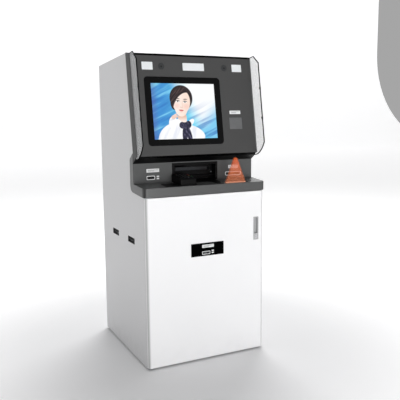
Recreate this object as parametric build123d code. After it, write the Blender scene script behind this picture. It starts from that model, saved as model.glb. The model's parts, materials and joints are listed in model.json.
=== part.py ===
from build123d import *
import math
import os

# Free-standing lobby cash machine, millimetres, +Z up, front towards -Y.
# Places along the depth are written as a setback from the front plane of the lower door, and at()
# turns a setback into the part's own Y. The origin is the middle of the base on the floor.

# --- overall sizes
cabinet_width = 640.0
cabinet_depth = 664.0
total_height = 1515.0
roof_drop = 28.0
rear_inset = 3.0
floor_gap = 6.0
sheet = 2.0
lip_proud = 2.0
fit_gap = 0.3
seam = 3.0

# --- lower door
door_depth = 16.0
door_corner = 15.5
door_lift = 4.0
pivot_inset = 7.0
pivot_back = 4.0
pin_radius = 3.0
pin_play = 0.05
ring_width = 30.0
ring_depth = 22.0

# --- shelf housing and recess wall
housing_proud = 8.0
shelf_height = 883.0
lip_height = 44.0
shelf_slope = 4.3
wall_setback = 132.0
housing_skin = 3.0
housing_back = 178.0
shelf_corner = 20.0
cheek_top = 1039.0

# --- upper fascia, hinged along its top rear edge
chin_height = 1016.0
chin_setback = 72.0
chin_rise = 10.0
chin_drop = 27.0
chin_skin = 4.0
fascia_lean = 9.0
fascia_depth = 52.0
fascia_skin = 3.0
barrel_radius = 6.0
wing_reach = 79.5
wing_thick = 4.0
wing_chamfer = 42.0
wing_root = 20.0
wing_drop = 5.0
wing_low = 55.0
trim_thick = 3.2

# --- screen, a 17 inch 5:4 panel, and its surround
screen_width = 338.0
screen_height = 270.0
bezel_border_x = 32.0
bezel_border_z = 30.0
bezel_proud = 3.0
screen_shift = -63.0
screen_rise = 223.0

# --- lights, cameras and reader on the fascia
light_row = 439.0
light_side_x = 242.0
light_side_width = 55.0
light_mid_width = 115.0
light_height = 37.0
camera_x = 170.0
camera_radius = 16.0
reader_x = 214.0
reader_rise = 160.0
reader_width = 72.0
reader_height = 58.0
label_rise = 215.5
label_width = 62.0
label_height = 17.0

# --- cash recess, slots and markers in the wall
recess_half = 125.0
recess_height = 91.0
recess_border = 12.0
cash_slot_half = 92.0
cash_slot_height = 18.0
cash_slot_rise = 56.0
shutter_thick = 3.0
shutter_lap = 4.0
shutter_travel = 23.0
marker_x = 227.0
marker_width = 66.0
slot_rise = 25.0
card_x = 217.0
card_ring_width = 92.0
card_ring_height = 20.0
card_slot_width = 60.0
receipt_ring_width = 44.0
receipt_slot_width = 38.0
slot_gap = 6.0

# --- keypad
pad_x = -88.0
pad_width = 84.0
pad_front = 20.0
pad_back = 128.0
pad_front_rise = 33.0
pad_back_rise = 37.0
key_size = 15.0
key_pitch = 19.0
key_travel = 1.6
key_proud = 2.4
key_gap = 0.4

# --- amber guard in front of the card slot
guard_x = 165.0
guard_width = 113.0
guard_height = 141.0
guard_setback = 8.0
guard_depth = 13.0
guard_skin = 3.0
guard_tip = 10.0

# --- vault, cassettes and modules
safe_half = 240.0
safe_front = 60.0
safe_back = 600.0
safe_top = 700.0
safe_wall = 12.0
vault_thick = 16.0
cassette_count = 4
cassette_width = 230.0
cassette_height = 128.0
cassette_pitch = 146.0
cassette_depth = 400.0
post = 25.0
plate_top = 20.0
tray_height = 1040.0

# --- door furniture
plate_width = 178.0
plate_height = 65.0
plate_rise = 566.5
pull_x = 276.0
pull_rise = 645.5
pull_width = 30.0
pull_height = 119.0
pull_deep = 11.0
lock_radius = 8.0

# --- side slots
side_slot_rise = 606.0
side_slot_length = 98.0
side_slot_height = 30.0
side_slot_depth = 12.0

half = cabinet_width / 2
outer_half = half + housing_proud
front_y = -(cabinet_depth + lip_proud) / 2 + lip_proud
side_front = door_depth + seam
lip_bottom = shelf_height - lip_height
door_bottom = floor_gap + door_lift
rear_face = cabinet_depth - rear_inset
door_top = lip_bottom - 3.0
slope_tan = math.tan(math.radians(shelf_slope))
lean = math.radians(fascia_lean)
barrel_z = total_height - barrel_radius
roof_front = 208.0
fascia_length = (total_height - 8.0 - chin_height) / math.cos(lean)
wall_base = shelf_height + wall_setback * slope_tan
pivot_x = -half + pivot_inset
pivot_setback = door_depth - pivot_back

os.makedirs("parts", exist_ok=True)


def at(setback):
    """Row Y of a setback from the door's front plane."""
    return front_y + setback


def block(x0, x1, u0, u1, z0, z1):
    """Box between two X, two setbacks and two heights."""
    size = Box(x1 - x0, u1 - u0, z1 - z0, align=(Align.MIN, Align.MIN, Align.MIN))
    return Pos(x0, at(u0), z0) * size


def profile(points, x0, x1):
    """Outline in setback and height, extruded from x0 to x1."""
    wire = Polyline(*[(at(u), z) for u, z in points], close=True)
    return extrude(Plane.YZ.offset(x0) * make_face(wire), x1 - x0)


def plan(points, z0, z1):
    """Outline in X and setback, extruded from z0 to z1."""
    wire = Polyline(*[(x, at(u)) for x, u in points], close=True)
    return extrude(Plane.XY.offset(z0) * make_face(wire), z1 - z0)


def rod(x, u, z, radius, length, axis):
    """Cylinder that starts at a point and runs along +X, +Y or +Z."""
    turn = {"x": (0, 90, 0), "y": (-90, 0, 0), "z": (0, 0, 0)}[axis]
    size = Cylinder(radius, length, align=(Align.CENTER, Align.CENTER, Align.MIN))
    return Location((x, at(u), z), turn) * size


def rounded_front(half_width, u0, u1, radius, z0, z1):
    """Upright block whose two front corners are rounded."""
    with_corners = block(-half_width, half_width, u0, u1, z0, z1)
    edges = with_corners.edges().filter_by(Axis.Z).group_by(Axis.Y)[0]
    return fillet(edges, radius)


def shelf_z(setback):
    """Height of the shelf's top at a setback."""
    return shelf_height + setback * slope_tan


def save(shape, name):
    """Write one sub-part."""
    shape.label = name
    export_step(shape, f"parts/{name}.step")


# the fascia is drawn upright, X across, Y behind its front face, Z up its slope, then leaned back
fascia_place = Location((0, at(chin_setback), chin_height), (-fascia_lean, 0, 0))


def slab(x0, x1, n0, n1, s0, s1):
    """Box in the fascia's own directions."""
    size = Box(x1 - x0, n1 - n0, s1 - s0, align=(Align.MIN, Align.MIN, Align.MIN))
    return Pos(x0, n0, s0) * size


def tile(x, s, width, height, n0, n1, corner):
    """Rounded plate in the fascia's own directions, centred on x and s."""
    face = Pos(x, s) * RectangleRounded(width, height, corner)
    return extrude(Plane.XZ.offset(-n1) * face, n1 - n0)


def wall_tile(x, z, width, height, u0, u1, corner):
    """Rounded plate parallel to the recess wall or the door, centred on x and z."""
    face = Pos(x, z) * RectangleRounded(width, height, corner)
    return extrude(Plane.XZ.offset(-at(u1)) * face, u1 - u0)


def fascia_u(height):
    """Setback of the fascia's front face at a height."""
    return chin_setback + (height - chin_height) * math.tan(lean)


def make_side(sign):
    """Side sheet with its two grip slots."""
    edge = 38.0
    low = chin_height + 44.0
    high = total_height - 16.0
    points = [
        (side_front, floor_gap),
        (cabinet_depth, floor_gap),
        (cabinet_depth, total_height - roof_drop),
        (roof_front + 8.0, total_height - 1.0),
        (fascia_u(high) + edge, high),
        (fascia_u(low) + edge, low),
        (wall_setback + 14.0, cheek_top - 8.0),
        (wall_setback + 14.0, lip_bottom + 22.0),
        (side_front, lip_bottom + 10.0),
    ]
    x0 = half - sheet if sign > 0 else -half
    panel = profile(points, x0, x0 + sheet)
    for centre in side_slot_centres():
        panel -= block(
            x0 - 1, x0 + sheet + 1,
            centre - side_slot_length / 2, centre + side_slot_length / 2,
            side_slot_rise - side_slot_height / 2, side_slot_rise + side_slot_height / 2,
        )
    return panel


def side_slot_centres():
    """Setbacks of the two slots' centres."""
    return (206.0, cabinet_depth - 216.0)


def make_side_slots():
    """Four shallow cups that line the slots in the side sheets."""
    cups = []
    for sign in (-1, 1):
        for centre in side_slot_centres():
            u0 = centre - side_slot_length / 2
            u1 = centre + side_slot_length / 2
            z0 = side_slot_rise - side_slot_height / 2
            z1 = side_slot_rise + side_slot_height / 2
            outer = half - 0.5
            inner = outer - side_slot_depth
            cup = block(*sorted((sign * inner, sign * outer)), u0 + 0.2, u1 - 0.2, z0 + 0.2, z1 - 0.2)
            hollow = block(*sorted((sign * (inner + 2.0), sign * (outer + 1.0))),
                           u0 + 2.2, u1 - 2.2, z0 + 2.2, z1 - 2.2)
            rib = block(*sorted((sign * (inner + 1.0), sign * (outer - 3.0))),
                        u0 + 12.0, u1 - 12.0, side_slot_rise - 2.0, side_slot_rise + 2.0)
            cups.append(cup - hollow + rib)
    return Compound(children=cups)


def knuckles(fixed):
    """X spans of the top hinge's barrels, fixed to the roof or riding with the fascia."""
    count = 5
    pitch = 2 * (half - 20.0) / count
    start = -half + 20.0
    spans = []
    for index in range(count):
        if (index % 2 == 0) == fixed:
            spans.append((start + index * pitch + fit_gap, start + (index + 1) * pitch - fit_gap))
    return spans


def make_roof():
    """Roof sheet that falls to the rear, with the fixed hinge barrels on its front edge."""
    clear = barrel_radius + 1.5
    rear_z = total_height - roof_drop
    fall = roof_drop / (cabinet_depth - roof_front)

    def top(u):
        return total_height - (u - roof_front) * fall

    start = roof_front + clear
    points = [
        (start, top(start)),
        (cabinet_depth, rear_z),
        (cabinet_depth, rear_z - 40.0),
        (cabinet_depth - sheet, rear_z - 40.0),
        (cabinet_depth - sheet, rear_z - sheet),
        (start + sheet, top(start + sheet) - sheet),
        (start + sheet, top(start) - 30.0),
        (start, top(start) - 30.0),
    ]
    inner = half - sheet - 0.1
    roof = profile(points, -inner, inner)
    for x0, x1 in knuckles(True):
        barrel = rod(x0, roof_front, barrel_z, barrel_radius, x1 - x0, "x")
        leaf = block(x0, x1, roof_front, start + 1.0, barrel_z - 1.5, barrel_z + 1.5)
        bore = rod(x0 - 1, roof_front, barrel_z, pin_radius + pin_play, x1 - x0 + 2, "x")
        roof += barrel + leaf - bore
    return roof


def make_rear():
    """Rear sheet with louvred vents and the mains inlet's cut-out."""
    inner = half - sheet - 0.1
    top = total_height - roof_drop - 41.0
    panel = block(-inner, inner, rear_face - sheet, rear_face, floor_gap + 2.0, top)
    cuts = []
    for group in (top - 260.0, floor_gap + 180.0):
        for row in range(8):
            z = group + row * 18.0
            for x in (-150.0, 0.0, 150.0):
                cuts.append(block(x - 55, x + 55, rear_face - 5, rear_face + 5, z, z + 6.0))
    cuts.append(block(178, 232, rear_face - 5, rear_face + 5, 70, 104))
    cuts.append(rod(0, rear_face - 5, top - 60.0, 9.5, 10, "y"))
    return panel - cuts


def anchor_points():
    """Floor anchor centres, X and setback."""
    return [(x, cabinet_depth / 2 + y) for x in (-200.0, 200.0) for y in (-190.0, 190.0)]


def foot_points():
    """Levelling foot centres, X and setback."""
    inset = half - 45.0
    return [(x, u) for x in (-inset, inset) for u in (75.0, cabinet_depth - 45.0)]


def make_base():
    """Base tray: plate, downturned rim and hinge shelf, with anchor and foot holes."""
    inner = half - sheet - 0.2
    rear = rear_face - sheet - 0.2
    plate = block(-inner, inner, 30, rear, plate_top - 4, plate_top)
    rim = block(-inner, inner, 30, rear, floor_gap, plate_top)
    rim -= block(-inner + 3, inner - 3, 33, rear - 3, 0, plate_top + 1)
    ear = block(-inner, -inner + 32, 4, 31, floor_gap, floor_gap + 3)
    base = plate + rim + ear
    for x, u in anchor_points():
        base -= rod(x, u, 0, 7.0, 40, "z")
    for x, u in foot_points():
        base -= rod(x, u, 0, 6.1, 40, "z")
    return base - rod(pivot_x, pivot_setback, 0, pin_radius + 0.02, 20, "z")


def make_feet():
    """Four levelling feet: rubber-shod pad, hex collar and stud."""
    feet = []
    for x, u in foot_points():
        pad = rod(x, u, 0, 25.0, 5.0, "z")
        pad = chamfer(pad.edges().group_by(Axis.Z)[-1], 1.5)
        collar = extrude(Pos(x, at(u), 5.0) * RegularPolygon(10.0, 6), plate_top - 9.0)
        stud = rod(x, u, 5.0, 6.0, plate_top + 25.0, "z")
        feet.append(pad + collar + stud)
    return Compound(children=feet)


def make_frame():
    """Welded inner frame: posts, rails, door header, door keeper and equipment tray."""
    x1 = half - sheet - 1.0
    x0 = x1 - post
    low = lip_bottom - 3.0
    rear0 = cabinet_depth - 44.0
    mid0 = 240.0
    rear_top = total_height - roof_drop - 47.0
    frame = block(-x1, x1, 40, 40 + post, low - post, low)
    for sign in (-1, 1):
        a, b = sorted((sign * x0, sign * x1))
        frame += block(a, b, 40, 40 + post, plate_top, low)
        frame += block(a, b, rear0, rear0 + post, plate_top, rear_top)
        frame += block(a, b, 40, rear0 + post, low - post, low)
        frame += block(a, b, mid0, mid0 + post, low - 1, rear_top)
        frame += block(a, b, mid0, rear0 + post, rear_top - post, rear_top)
        frame += block(a, b, mid0, rear0 + post, tray_height - post, tray_height)
    frame += block(-x1, x1, rear0, rear0 + post, rear_top - post, rear_top)
    frame += block(-x0 - 1, x0 + 1, mid0 + post, rear0 + post, tray_height - 3, tray_height)
    keeper = block(x0 + 4, x1, 27, 30, keeper_z() - 22, keeper_z() + 22)
    keeper += block(x1 - 3, x1, 27, 42, keeper_z() - 22, keeper_z() + 22)
    hanger = block(-x1, -x1 + 32, 4, 42, door_top + 1.0, door_top + 4.0)
    hanger += block(-x1, -x1 + 32, 38, 42, low - 6.0, door_top + 4.0)
    hanger -= rod(pivot_x, pivot_setback, low - 10, pin_radius + 0.02, 30, "z")
    return frame + keeper + hanger


def keeper_z():
    """Height of the door lock's cam."""
    return pull_rise - pull_height / 2 + 16.0


def make_pins():
    """Top hinge pin and the door's two pivot pins."""
    top_pin = rod(-half + 20.0, roof_front, barrel_z, pin_radius, 2 * (half - 20.0), "x")
    low = rod(pivot_x, pivot_setback, floor_gap, pin_radius, door_lift + 14.0, "z")
    high = rod(pivot_x, pivot_setback, door_top - 12.0, pin_radius, 17.0, "z")
    return Compound(children=[top_pin, low, high])


def make_shelf():
    """Dark housing: sloping shelf with its front lip and two cheeks that run up behind the wall."""
    heel = lip_bottom + 12.0
    points = [
        (-lip_proud, lip_bottom),
        (-lip_proud, shelf_z(-lip_proud)),
        (wall_setback, wall_base),
        (wall_setback, cheek_top - 6.0),
        (wall_setback + 5.0, cheek_top),
        (housing_back - 5.0, cheek_top - 26.0),
        (housing_back, cheek_top - 34.0),
        (housing_back, heel + 30.0),
        (housing_back - 9.0, heel + 9.0),
        (housing_back - 30.0, heel),
    ]
    outer = profile(points, -outer_half, outer_half)
    outer &= rounded_front(outer_half, -lip_proud, cabinet_depth, shelf_corner, 0, total_height)
    inner_half = outer_half - housing_skin
    front = -lip_proud + housing_skin
    under = [
        (front, 0),
        (front, shelf_z(front) - housing_skin),
        (wall_setback, wall_base - housing_skin),
        (wall_setback, 0),
    ]
    hollow = profile(under, -inner_half, inner_half)
    inner_corner = shelf_corner - housing_skin
    hollow &= rounded_front(inner_half, front, cabinet_depth, inner_corner, 0, total_height)
    behind = block(-inner_half, inner_half, wall_setback, cabinet_depth, 0, total_height)
    return outer - hollow - behind


def make_wall():
    """Recess wall with the cash recess, card slot and receipt slot cut through."""
    inner = outer_half - housing_skin - 0.2
    wall = block(-inner, inner, wall_setback, wall_setback + 2.5, wall_base - 30.0, cheek_top - 8.0)
    top = wall_base + recess_height
    cut = block(-recess_half, recess_half, wall_setback - 5, wall_setback + 5, wall_base - 40, top)
    wall -= cut
    for x, ring in ((card_x, card_ring_width), (-receipt_x(), receipt_ring_width)):
        wall -= wall_tile(x, wall_base + slot_rise, ring, card_ring_height,
                          wall_setback - 5, wall_setback + 5, 6.0)
    return wall


def receipt_x():
    """Distance of the receipt slot from the middle."""
    return marker_x + (marker_width - receipt_ring_width) / 2


def make_recess():
    """Black recess lining: border, upper hood, back with the note slot, and side walls."""
    z0 = wall_base - 28.0
    z1 = wall_base + recess_height - 0.2
    x1 = recess_half - 0.2
    front = wall_setback - 2.5
    back = wall_setback + 62.0
    shell = block(-x1, x1, front, back, wall_base + 0.2, z1)
    shell += block(-x1, x1, wall_setback + 0.1, back, z0, z1)
    step = 34.0
    slot_z = wall_base + cash_slot_rise
    shell -= block(-x1 + recess_border, x1 - recess_border, front - 1, wall_setback + step,
                   wall_base + 2.0, z1 - recess_border)
    hood = block(-x1 + recess_border - 1, pad_x + pad_width / 2 + 8.0, front + 4.0, wall_setback + step + 1,
                 slot_z + cash_slot_height / 2 + 3.0, slot_z + cash_slot_height / 2 + 6.0)
    ledge = block(pad_x + pad_width / 2 + 14.0, x1 - recess_border + 1, front + 12.0,
                  wall_setback + step + 1, wall_base + 20.0, wall_base + 24.0)
    shell += hood + ledge
    shell -= block(-cash_slot_half, cash_slot_half, wall_setback, back + 1,
                   slot_z - cash_slot_height / 2, slot_z + cash_slot_height / 2)
    pocket = shutter_pocket()
    shell -= block(*pocket)
    spot = rod(recess_half - recess_border - 8.0, wall_setback + step - 3, slot_z - 20.0, 4.0, 4.0, "y")
    return shell + spot


def shutter_pocket():
    """Pocket in the recess lining that the shutter runs in."""
    slot_z = wall_base + cash_slot_rise
    reach = cash_slot_half + 8.0
    u0 = wall_setback + 44.0
    return (-reach, reach, u0, u0 + shutter_thick + 2 * fit_gap,
            slot_z - cash_slot_height / 2 - shutter_lap - shutter_travel - 1.0,
            slot_z + cash_slot_height / 2 + shutter_lap + 1.0)


def make_shutter():
    """Note shutter: plate that covers the slot at rest and drops to open it."""
    x0, x1, u0, u1, z0, z1 = shutter_pocket()
    slot_z = wall_base + cash_slot_rise
    return block(x0 + 0.6, x1 - 0.6, u0 + fit_gap, u1 - fit_gap,
                 slot_z - cash_slot_height / 2 - shutter_lap, z1 - 1.0)


def make_pad():
    """Keypad housing: flat black plate on the shelf with the raised, sloping key block."""
    u_mid = 81.0
    left = pad_x - pad_width / 2
    right = pad_x + pad_width / 2
    edge = recess_half - recess_border - 1.0
    outline = [(left - 76.0, 12.0), (edge - 30.0, 12.0), (edge - 8.0, 60.0), (edge - 8.0, pad_back),
               (left, pad_back), (left, u_mid), (left - 76.0, u_mid)]
    sole = plan(outline, shelf_height - 20, shelf_height + 60)
    lift = profile([(0, shelf_z(0)), (0, shelf_z(0) + 2.0), (pad_back, shelf_z(pad_back) + 2.0),
                    (pad_back, shelf_z(pad_back))], -half, half)
    sole &= lift
    scoop_radius = 40.0
    scoop_u = 34.0
    scoop_ends = (right + scoop_radius - 6.0, right + 72.0)
    for x in scoop_ends:
        sole -= rod(x, scoop_u, shelf_height - 20, scoop_radius, 80, "z")
    sole -= block(*scoop_ends, scoop_u - scoop_radius, scoop_u + scoop_radius, shelf_height - 20,
                  shelf_height + 60)
    body = profile([
        (pad_front, shelf_z(pad_front) + 1.0),
        (pad_front, shelf_z(pad_front) + pad_front_rise - 6.0),
        (pad_front + 6.0, shelf_z(pad_front) + pad_front_rise),
        (pad_back, shelf_z(pad_back) + pad_back_rise),
        (pad_back, shelf_z(pad_back) + 1.0),
    ], left, right)
    body = fillet(body.edges().filter_by(Axis.Z).group_by(Axis.Y)[0], 5.0)
    pad = sole + body
    for x, s, width, depth in key_layout():
        pad -= pad_place() * (Pos(x, s, -5.0) * Box(width + 2 * key_gap, depth + 2 * key_gap, 20.0,
                                                     align=(Align.CENTER, Align.CENTER, Align.MIN)))
    return pad


def pad_tilt():
    """Slope of the key block's top, degrees."""
    run = pad_back - pad_front - 6.0
    rise = shelf_z(pad_back) + pad_back_rise - shelf_z(pad_front) - pad_front_rise
    return math.degrees(math.atan2(rise, run))


def pad_place():
    """Frame on the key block's top: X across, Y up the slope, Z out of the keys."""
    return Location((pad_x, at(pad_front + 6.0), shelf_z(pad_front) + pad_front_rise), (pad_tilt(), 0, 0))


def key_layout():
    """Keys as X, distance up the slope, width and depth: four columns, with a tall last key."""
    first = 16.0
    keys = []
    for row in range(4):
        for column in range(3):
            keys.append(((column - 1.5) * key_pitch, first + (3 - row) * key_pitch, key_size, key_size))
    for row in range(2):
        keys.append((1.5 * key_pitch, first + (3 - row) * key_pitch, key_size, key_size))
    tall = key_size + key_pitch
    keys.append((1.5 * key_pitch, first + key_pitch / 2, key_size, tall))
    return keys


def key_names():
    """Node names in the order of key_layout."""
    names = [f"key_{digit}" for digit in (1, 2, 3, 4, 5, 6, 7, 8, 9)]
    return names + ["key_point", "key_0", "key_double_0", "key_cancel", "key_clear", "key_enter"]


def make_key(x, s, width, depth):
    """One key cap with a soft edge and a stem below."""
    base = key_travel + 1.0
    cap = Box(width, depth, base + key_proud, align=(Align.CENTER, Align.CENTER, Align.MIN))
    cap = Pos(x, s, -base) * cap
    cap = fillet(cap.edges().filter_by(Axis.Z), 2.0)
    cap = chamfer(cap.edges().group_by(Axis.Z)[-1], 0.6)
    return pad_place() * cap


def make_slot_bezel(x, width, slot_width):
    """Slot mouth: rounded frame, recessed face and the slot through it."""
    z = wall_base + slot_rise
    u0 = wall_setback - 1.0
    body = wall_tile(x, z, width - 0.4, card_ring_height - 0.4, u0, u0 + 10.0, 5.5)
    line = 3.0
    body -= wall_tile(x, z, width - 2 * line, card_ring_height - 2 * line, u0 - 1, u0 + 1.6, 3.5)
    slot = block(x - slot_width / 2, x + slot_width / 2, u0 - 1, u0 + 11, z - slot_gap / 2, z + slot_gap / 2)
    return body - slot


def make_card_reader():
    """Card reader behind the wall, with a throat in line with the slot."""
    z = wall_base + slot_rise
    u0 = wall_setback + 9.2
    body = block(card_x - 45, card_x + 45, u0, u0 + 170, z - 30, z + 34)
    throat = block(card_x - card_slot_width / 2, card_x + card_slot_width / 2, u0 - 1, u0 + 120,
                   z - slot_gap / 2, z + slot_gap / 2)
    return body - throat


def roll_place():
    """Centre of the receipt roll: X, setback, height and radius."""
    return (-receipt_x(), wall_setback + 150.0, wall_base + 62.0, 34.0)


def make_printer():
    """Receipt printer: body behind the slot, two arms and the roll's axle."""
    z = wall_base + slot_rise
    x = -receipt_x()
    u0 = wall_setback + 9.2
    rx, ru, rz, radius = roll_place()
    reach = receipt_slot_width / 2 + 1.0
    body = block(x - 38, x + 38, u0, u0 + 92, z - 24, z + 28)
    slot = block(x - receipt_slot_width / 2, x + receipt_slot_width / 2, u0 - 1, u0 + 60,
                 z - slot_gap / 2, z + slot_gap / 2)
    body -= slot
    for side in (-1, 1):
        a, b = sorted((x + side * reach, x + side * (reach + 3)))
        body += block(a, b, u0 + 80, ru + 12, z - 20, rz + 12)
    axle = rod(x - reach - 2, ru, rz, 7.5, 2 * reach + 4, "x")
    return body + axle


def make_roll():
    """Paper roll with its core bore."""
    x, u, z, radius = roll_place()
    width = receipt_slot_width - 1.0
    return rod(x - width / 2, u, z, radius, width, "x") - rod(x - width, u, z, 8.0, 2 * width, "x")


def marker_set(x, z, u_face, gap):
    """White label plate above a slot and two small lamp squares beside it."""
    plates = [wall_tile(x, z + gap, marker_width, label_height, u_face - 0.6, u_face, 1.0)]
    lamp_x = x + marker_width / 2 - 7.0
    for side in (-1, 1):
        plates.append(wall_tile(lamp_x, z + side * 5.2, 13.0, 7.0, u_face - 0.6, u_face, 0.8))
    return plates


def make_wall_markers():
    """Label plates over both wall slots, and the lamp squares beside the receipt slot."""
    z = wall_base + slot_rise
    plates = marker_set(-marker_x, z, wall_setback, 35.0)
    plates.append(wall_tile(card_x, z + 35.0, marker_width - 10.0, label_height, wall_setback - 0.6,
                            wall_setback, 1.0))
    return Compound(children=plates)


def make_guard():
    """Amber guard: tapering hood with a rounded tip, open at the back and underneath."""
    z0 = shelf_z(guard_setback)
    half_base = guard_width / 2

    def hood(inset, u0, u1):
        slope = math.atan2(guard_height, half_base)
        drop = inset / math.sin(slope)
        base = half_base - drop
        top = guard_height - inset / math.cos(slope)
        with BuildSketch(Plane.XZ.offset(-at(u1))) as face:
            with BuildLine():
                Polyline((guard_x - base, z0 - 20), (guard_x - base, z0), (guard_x, z0 + top),
                         (guard_x + base, z0), (guard_x + base, z0 - 20), close=True)
            make_face()
            tip = face.vertices().group_by(Axis.Z)[-1]
            fillet(tip, max(guard_tip - inset, 2.0))
        return extrude(face.sketch, u1 - u0)

    u1 = guard_setback + guard_depth
    outer = hood(0, guard_setback, u1)
    inner = hood(guard_skin, guard_setback + guard_skin, u1 + 1.0)
    above = profile([(-5, shelf_z(-5)), (300, shelf_z(300)), (300, 1200), (-5, 1200)], -half, half)
    return (outer - inner) & above


def make_safe():
    """Steel safe body with a door opening in its front wall and shelves for the cassettes."""
    z0 = plate_top
    body = block(-safe_half, safe_half, safe_front, safe_back, z0, safe_top)
    body -= block(-safe_half + safe_wall, safe_half - safe_wall, safe_front + safe_wall,
                  safe_back - safe_wall, z0 + safe_wall, safe_top - safe_wall)
    body -= block(-safe_half + 25, safe_half - 25, safe_front - 1, safe_front + safe_wall + 1,
                  z0 + 25, safe_top - 25)
    for index in range(cassette_count):
        z = cassette_z(index)
        for side in (-1, 1):
            inner = cassette_width / 2 - 12
            a, b = sorted((side * inner, side * (safe_half - safe_wall + 1)))
            body += block(a, b, safe_front + 40, safe_front + 40 + cassette_depth, z - 4, z - 0.5)
    for x, u in anchor_points():
        body -= rod(x, u, z0 - 1, 7.0, safe_wall + 2, "z")
    slot = block(-80, 80, 180, 300, safe_top - safe_wall - 1, safe_top + 1)
    return body - slot


def cassette_z(index):
    """Height of a cassette's underside."""
    return plate_top + 52.0 + index * cassette_pitch


def make_cassettes():
    """Banknote cassettes with a grip recess, a lid line and a handle bar."""
    boxes = []
    for index in range(cassette_count):
        z = cassette_z(index)
        u0 = safe_front + 44.0
        w = cassette_width / 2
        shell = block(-w, w, u0, u0 + cassette_depth, z, z + cassette_height)
        shell = fillet(shell.edges().filter_by(Axis.Y), 4.0)
        shell -= block(-60, 60, u0 - 1, u0 + 22, z + 40, z + 90)
        shell += rod(-62, u0 + 9, z + 65, 6.0, 124, "x")
        boxes.append(shell)
    return Compound(children=boxes)


def make_vault_door():
    """Vault door leaf, lapping the safe's opening, with a step that fills it."""
    z0 = plate_top + 5
    z1 = safe_top - 5
    w = safe_half - 5
    gap = 2.0
    front = safe_front - vault_thick - 0.5
    leaf = block(-w, w, front, safe_front - 0.5, z0, z1)
    step = block(-safe_half + 25 + gap, safe_half - 25 - gap, safe_front - 4, safe_front + 10,
                 plate_top + 25 + gap, safe_top - 25 - gap)
    hinge_u = safe_front - 10.0
    leaf += step
    for z in (z0 + 90.0, z1 - 90.0):
        hinge = rod(-safe_half - 4.0, hinge_u, z - 35, 9.0, 70, "z")
        hinge += block(-safe_half - 4, -w + 4, hinge_u - 4, hinge_u + 4, z - 35, z + 35)
        leaf += hinge
    for x in (dial_x(), handle_x()):
        leaf -= rod(x, front - 1, lock_z(), 6.0, 12.0, "y")
    return leaf


def dial_x():
    """X of the combination dial."""
    return -55.0


def handle_x():
    """X of the bolt handle."""
    return 65.0


def lock_z():
    """Height of the dial and the bolt handle."""
    return (plate_top + safe_top) / 2 + 40.0


def vault_face():
    """Setback of the vault door's front face."""
    return safe_front - vault_thick - 0.5


def make_dial():
    """Combination dial: skirt, knurled knob and spindle."""
    u = vault_face()
    skirt = rod(dial_x(), u - 3.0, lock_z(), 27.0, 2.5, "y")
    knob = rod(dial_x(), u - 16.0, lock_z(), 17.0, 14.0, "y")
    for index in range(12):
        turn = math.radians(index * 30.0)
        groove_x = dial_x() + 17.5 * math.cos(turn)
        groove_z = lock_z() + 17.5 * math.sin(turn)
        knob -= rod(groove_x, u - 17.0, groove_z, 1.6, 11.0, "y")
    return skirt + knob + rod(dial_x(), u - 1.0, lock_z(), 5.94, 10.0, "y")


def make_handle():
    """Bolt handle: hub, three spokes with round ends, and spindle."""
    u = vault_face()
    hub = rod(0, 0, 0, 13.0, 13.5, "z")
    spindle = Pos(0, at(0), 5.0) * Cylinder(5.94, 18.0, align=(Align.CENTER, Align.CENTER, Align.MIN))
    arm = Location((8.0, at(0), 5.0), (0, 90, 0)) * Cylinder(
        4.0, 38.0, align=(Align.CENTER, Align.CENTER, Align.MIN))
    arm += Pos(46.0, at(0), 5.0) * Sphere(6.5)
    arm = Pos(0, -at(0), 0) * arm
    handle = Pos(0, -at(0), 0) * (hub + spindle)
    for index in range(3):
        handle += Rot(0, 0, 90.0 + index * 120.0) * arm
    return Location((handle_x(), at(u - 14.0), lock_z()), (-90, 0, 0)) * handle


def make_dispenser():
    """Note transport above the safe: chassis, throat up to the shutter and belt rollers."""
    z0 = safe_top + 0.5
    chassis = block(-175, 175, 160, 540, z0, z0 + 120)
    chassis -= block(-165, 165, 170, 530, z0 + 10, z0 + 110)
    u0 = wall_setback + 63.0
    slot_z = wall_base + cash_slot_rise
    tower = block(-cash_slot_half - 10, cash_slot_half + 10, u0, u0 + 70, z0 + 119, slot_z + 24)
    throat = block(-cash_slot_half, cash_slot_half, u0 - 1, u0 + 40, slot_z - 8, slot_z + 8)
    shaft = block(-cash_slot_half, cash_slot_half, u0 + 20, u0 + 50, z0 + 100, slot_z + 8)
    module = chassis + tower - throat - shaft
    for u in (230.0, 330.0, 430.0):
        module += rod(-166, u, z0 + 60, 11.0, 332, "x")
    return module


def make_pc():
    """Control computer on the equipment tray, with a vented front and fan opening."""
    u0 = 330.0
    box = block(-165, 165, u0, u0 + 250, tray_height, tray_height + 120)
    box = fillet(box.edges().filter_by(Axis.Z), 4.0)
    for row in range(6):
        box -= block(-120, 20, u0 + 245, u0 + 251, tray_height + 20 + row * 14, tray_height + 26 + row * 14)
    return box - rod(95, u0 + 240, tray_height + 60, 40, 11, "y")


def make_inlet():
    """Mains inlet: flange, housing and socket with three pins."""
    x = 205.0
    z = 87.0
    rear = rear_face + 1.5
    body = wall_tile(x, z, 52.0, 32.0, rear - 30, rear, 4.0)
    body += wall_tile(x, z, 66.0, 40.0, rear_face - sheet - 3.0, rear_face - sheet, 4.0)
    body -= wall_tile(x, z, 26.0, 18.0, rear - 20, rear + 1, 3.0)
    for shift in (-7.0, 0.0, 7.0):
        rise = 3.5 if shift == 0 else -2.0
        body += block(x + shift - 1, x + shift + 1, rear - 21, rear - 5, z + rise - 3, z + rise + 3)
    return body


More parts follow.
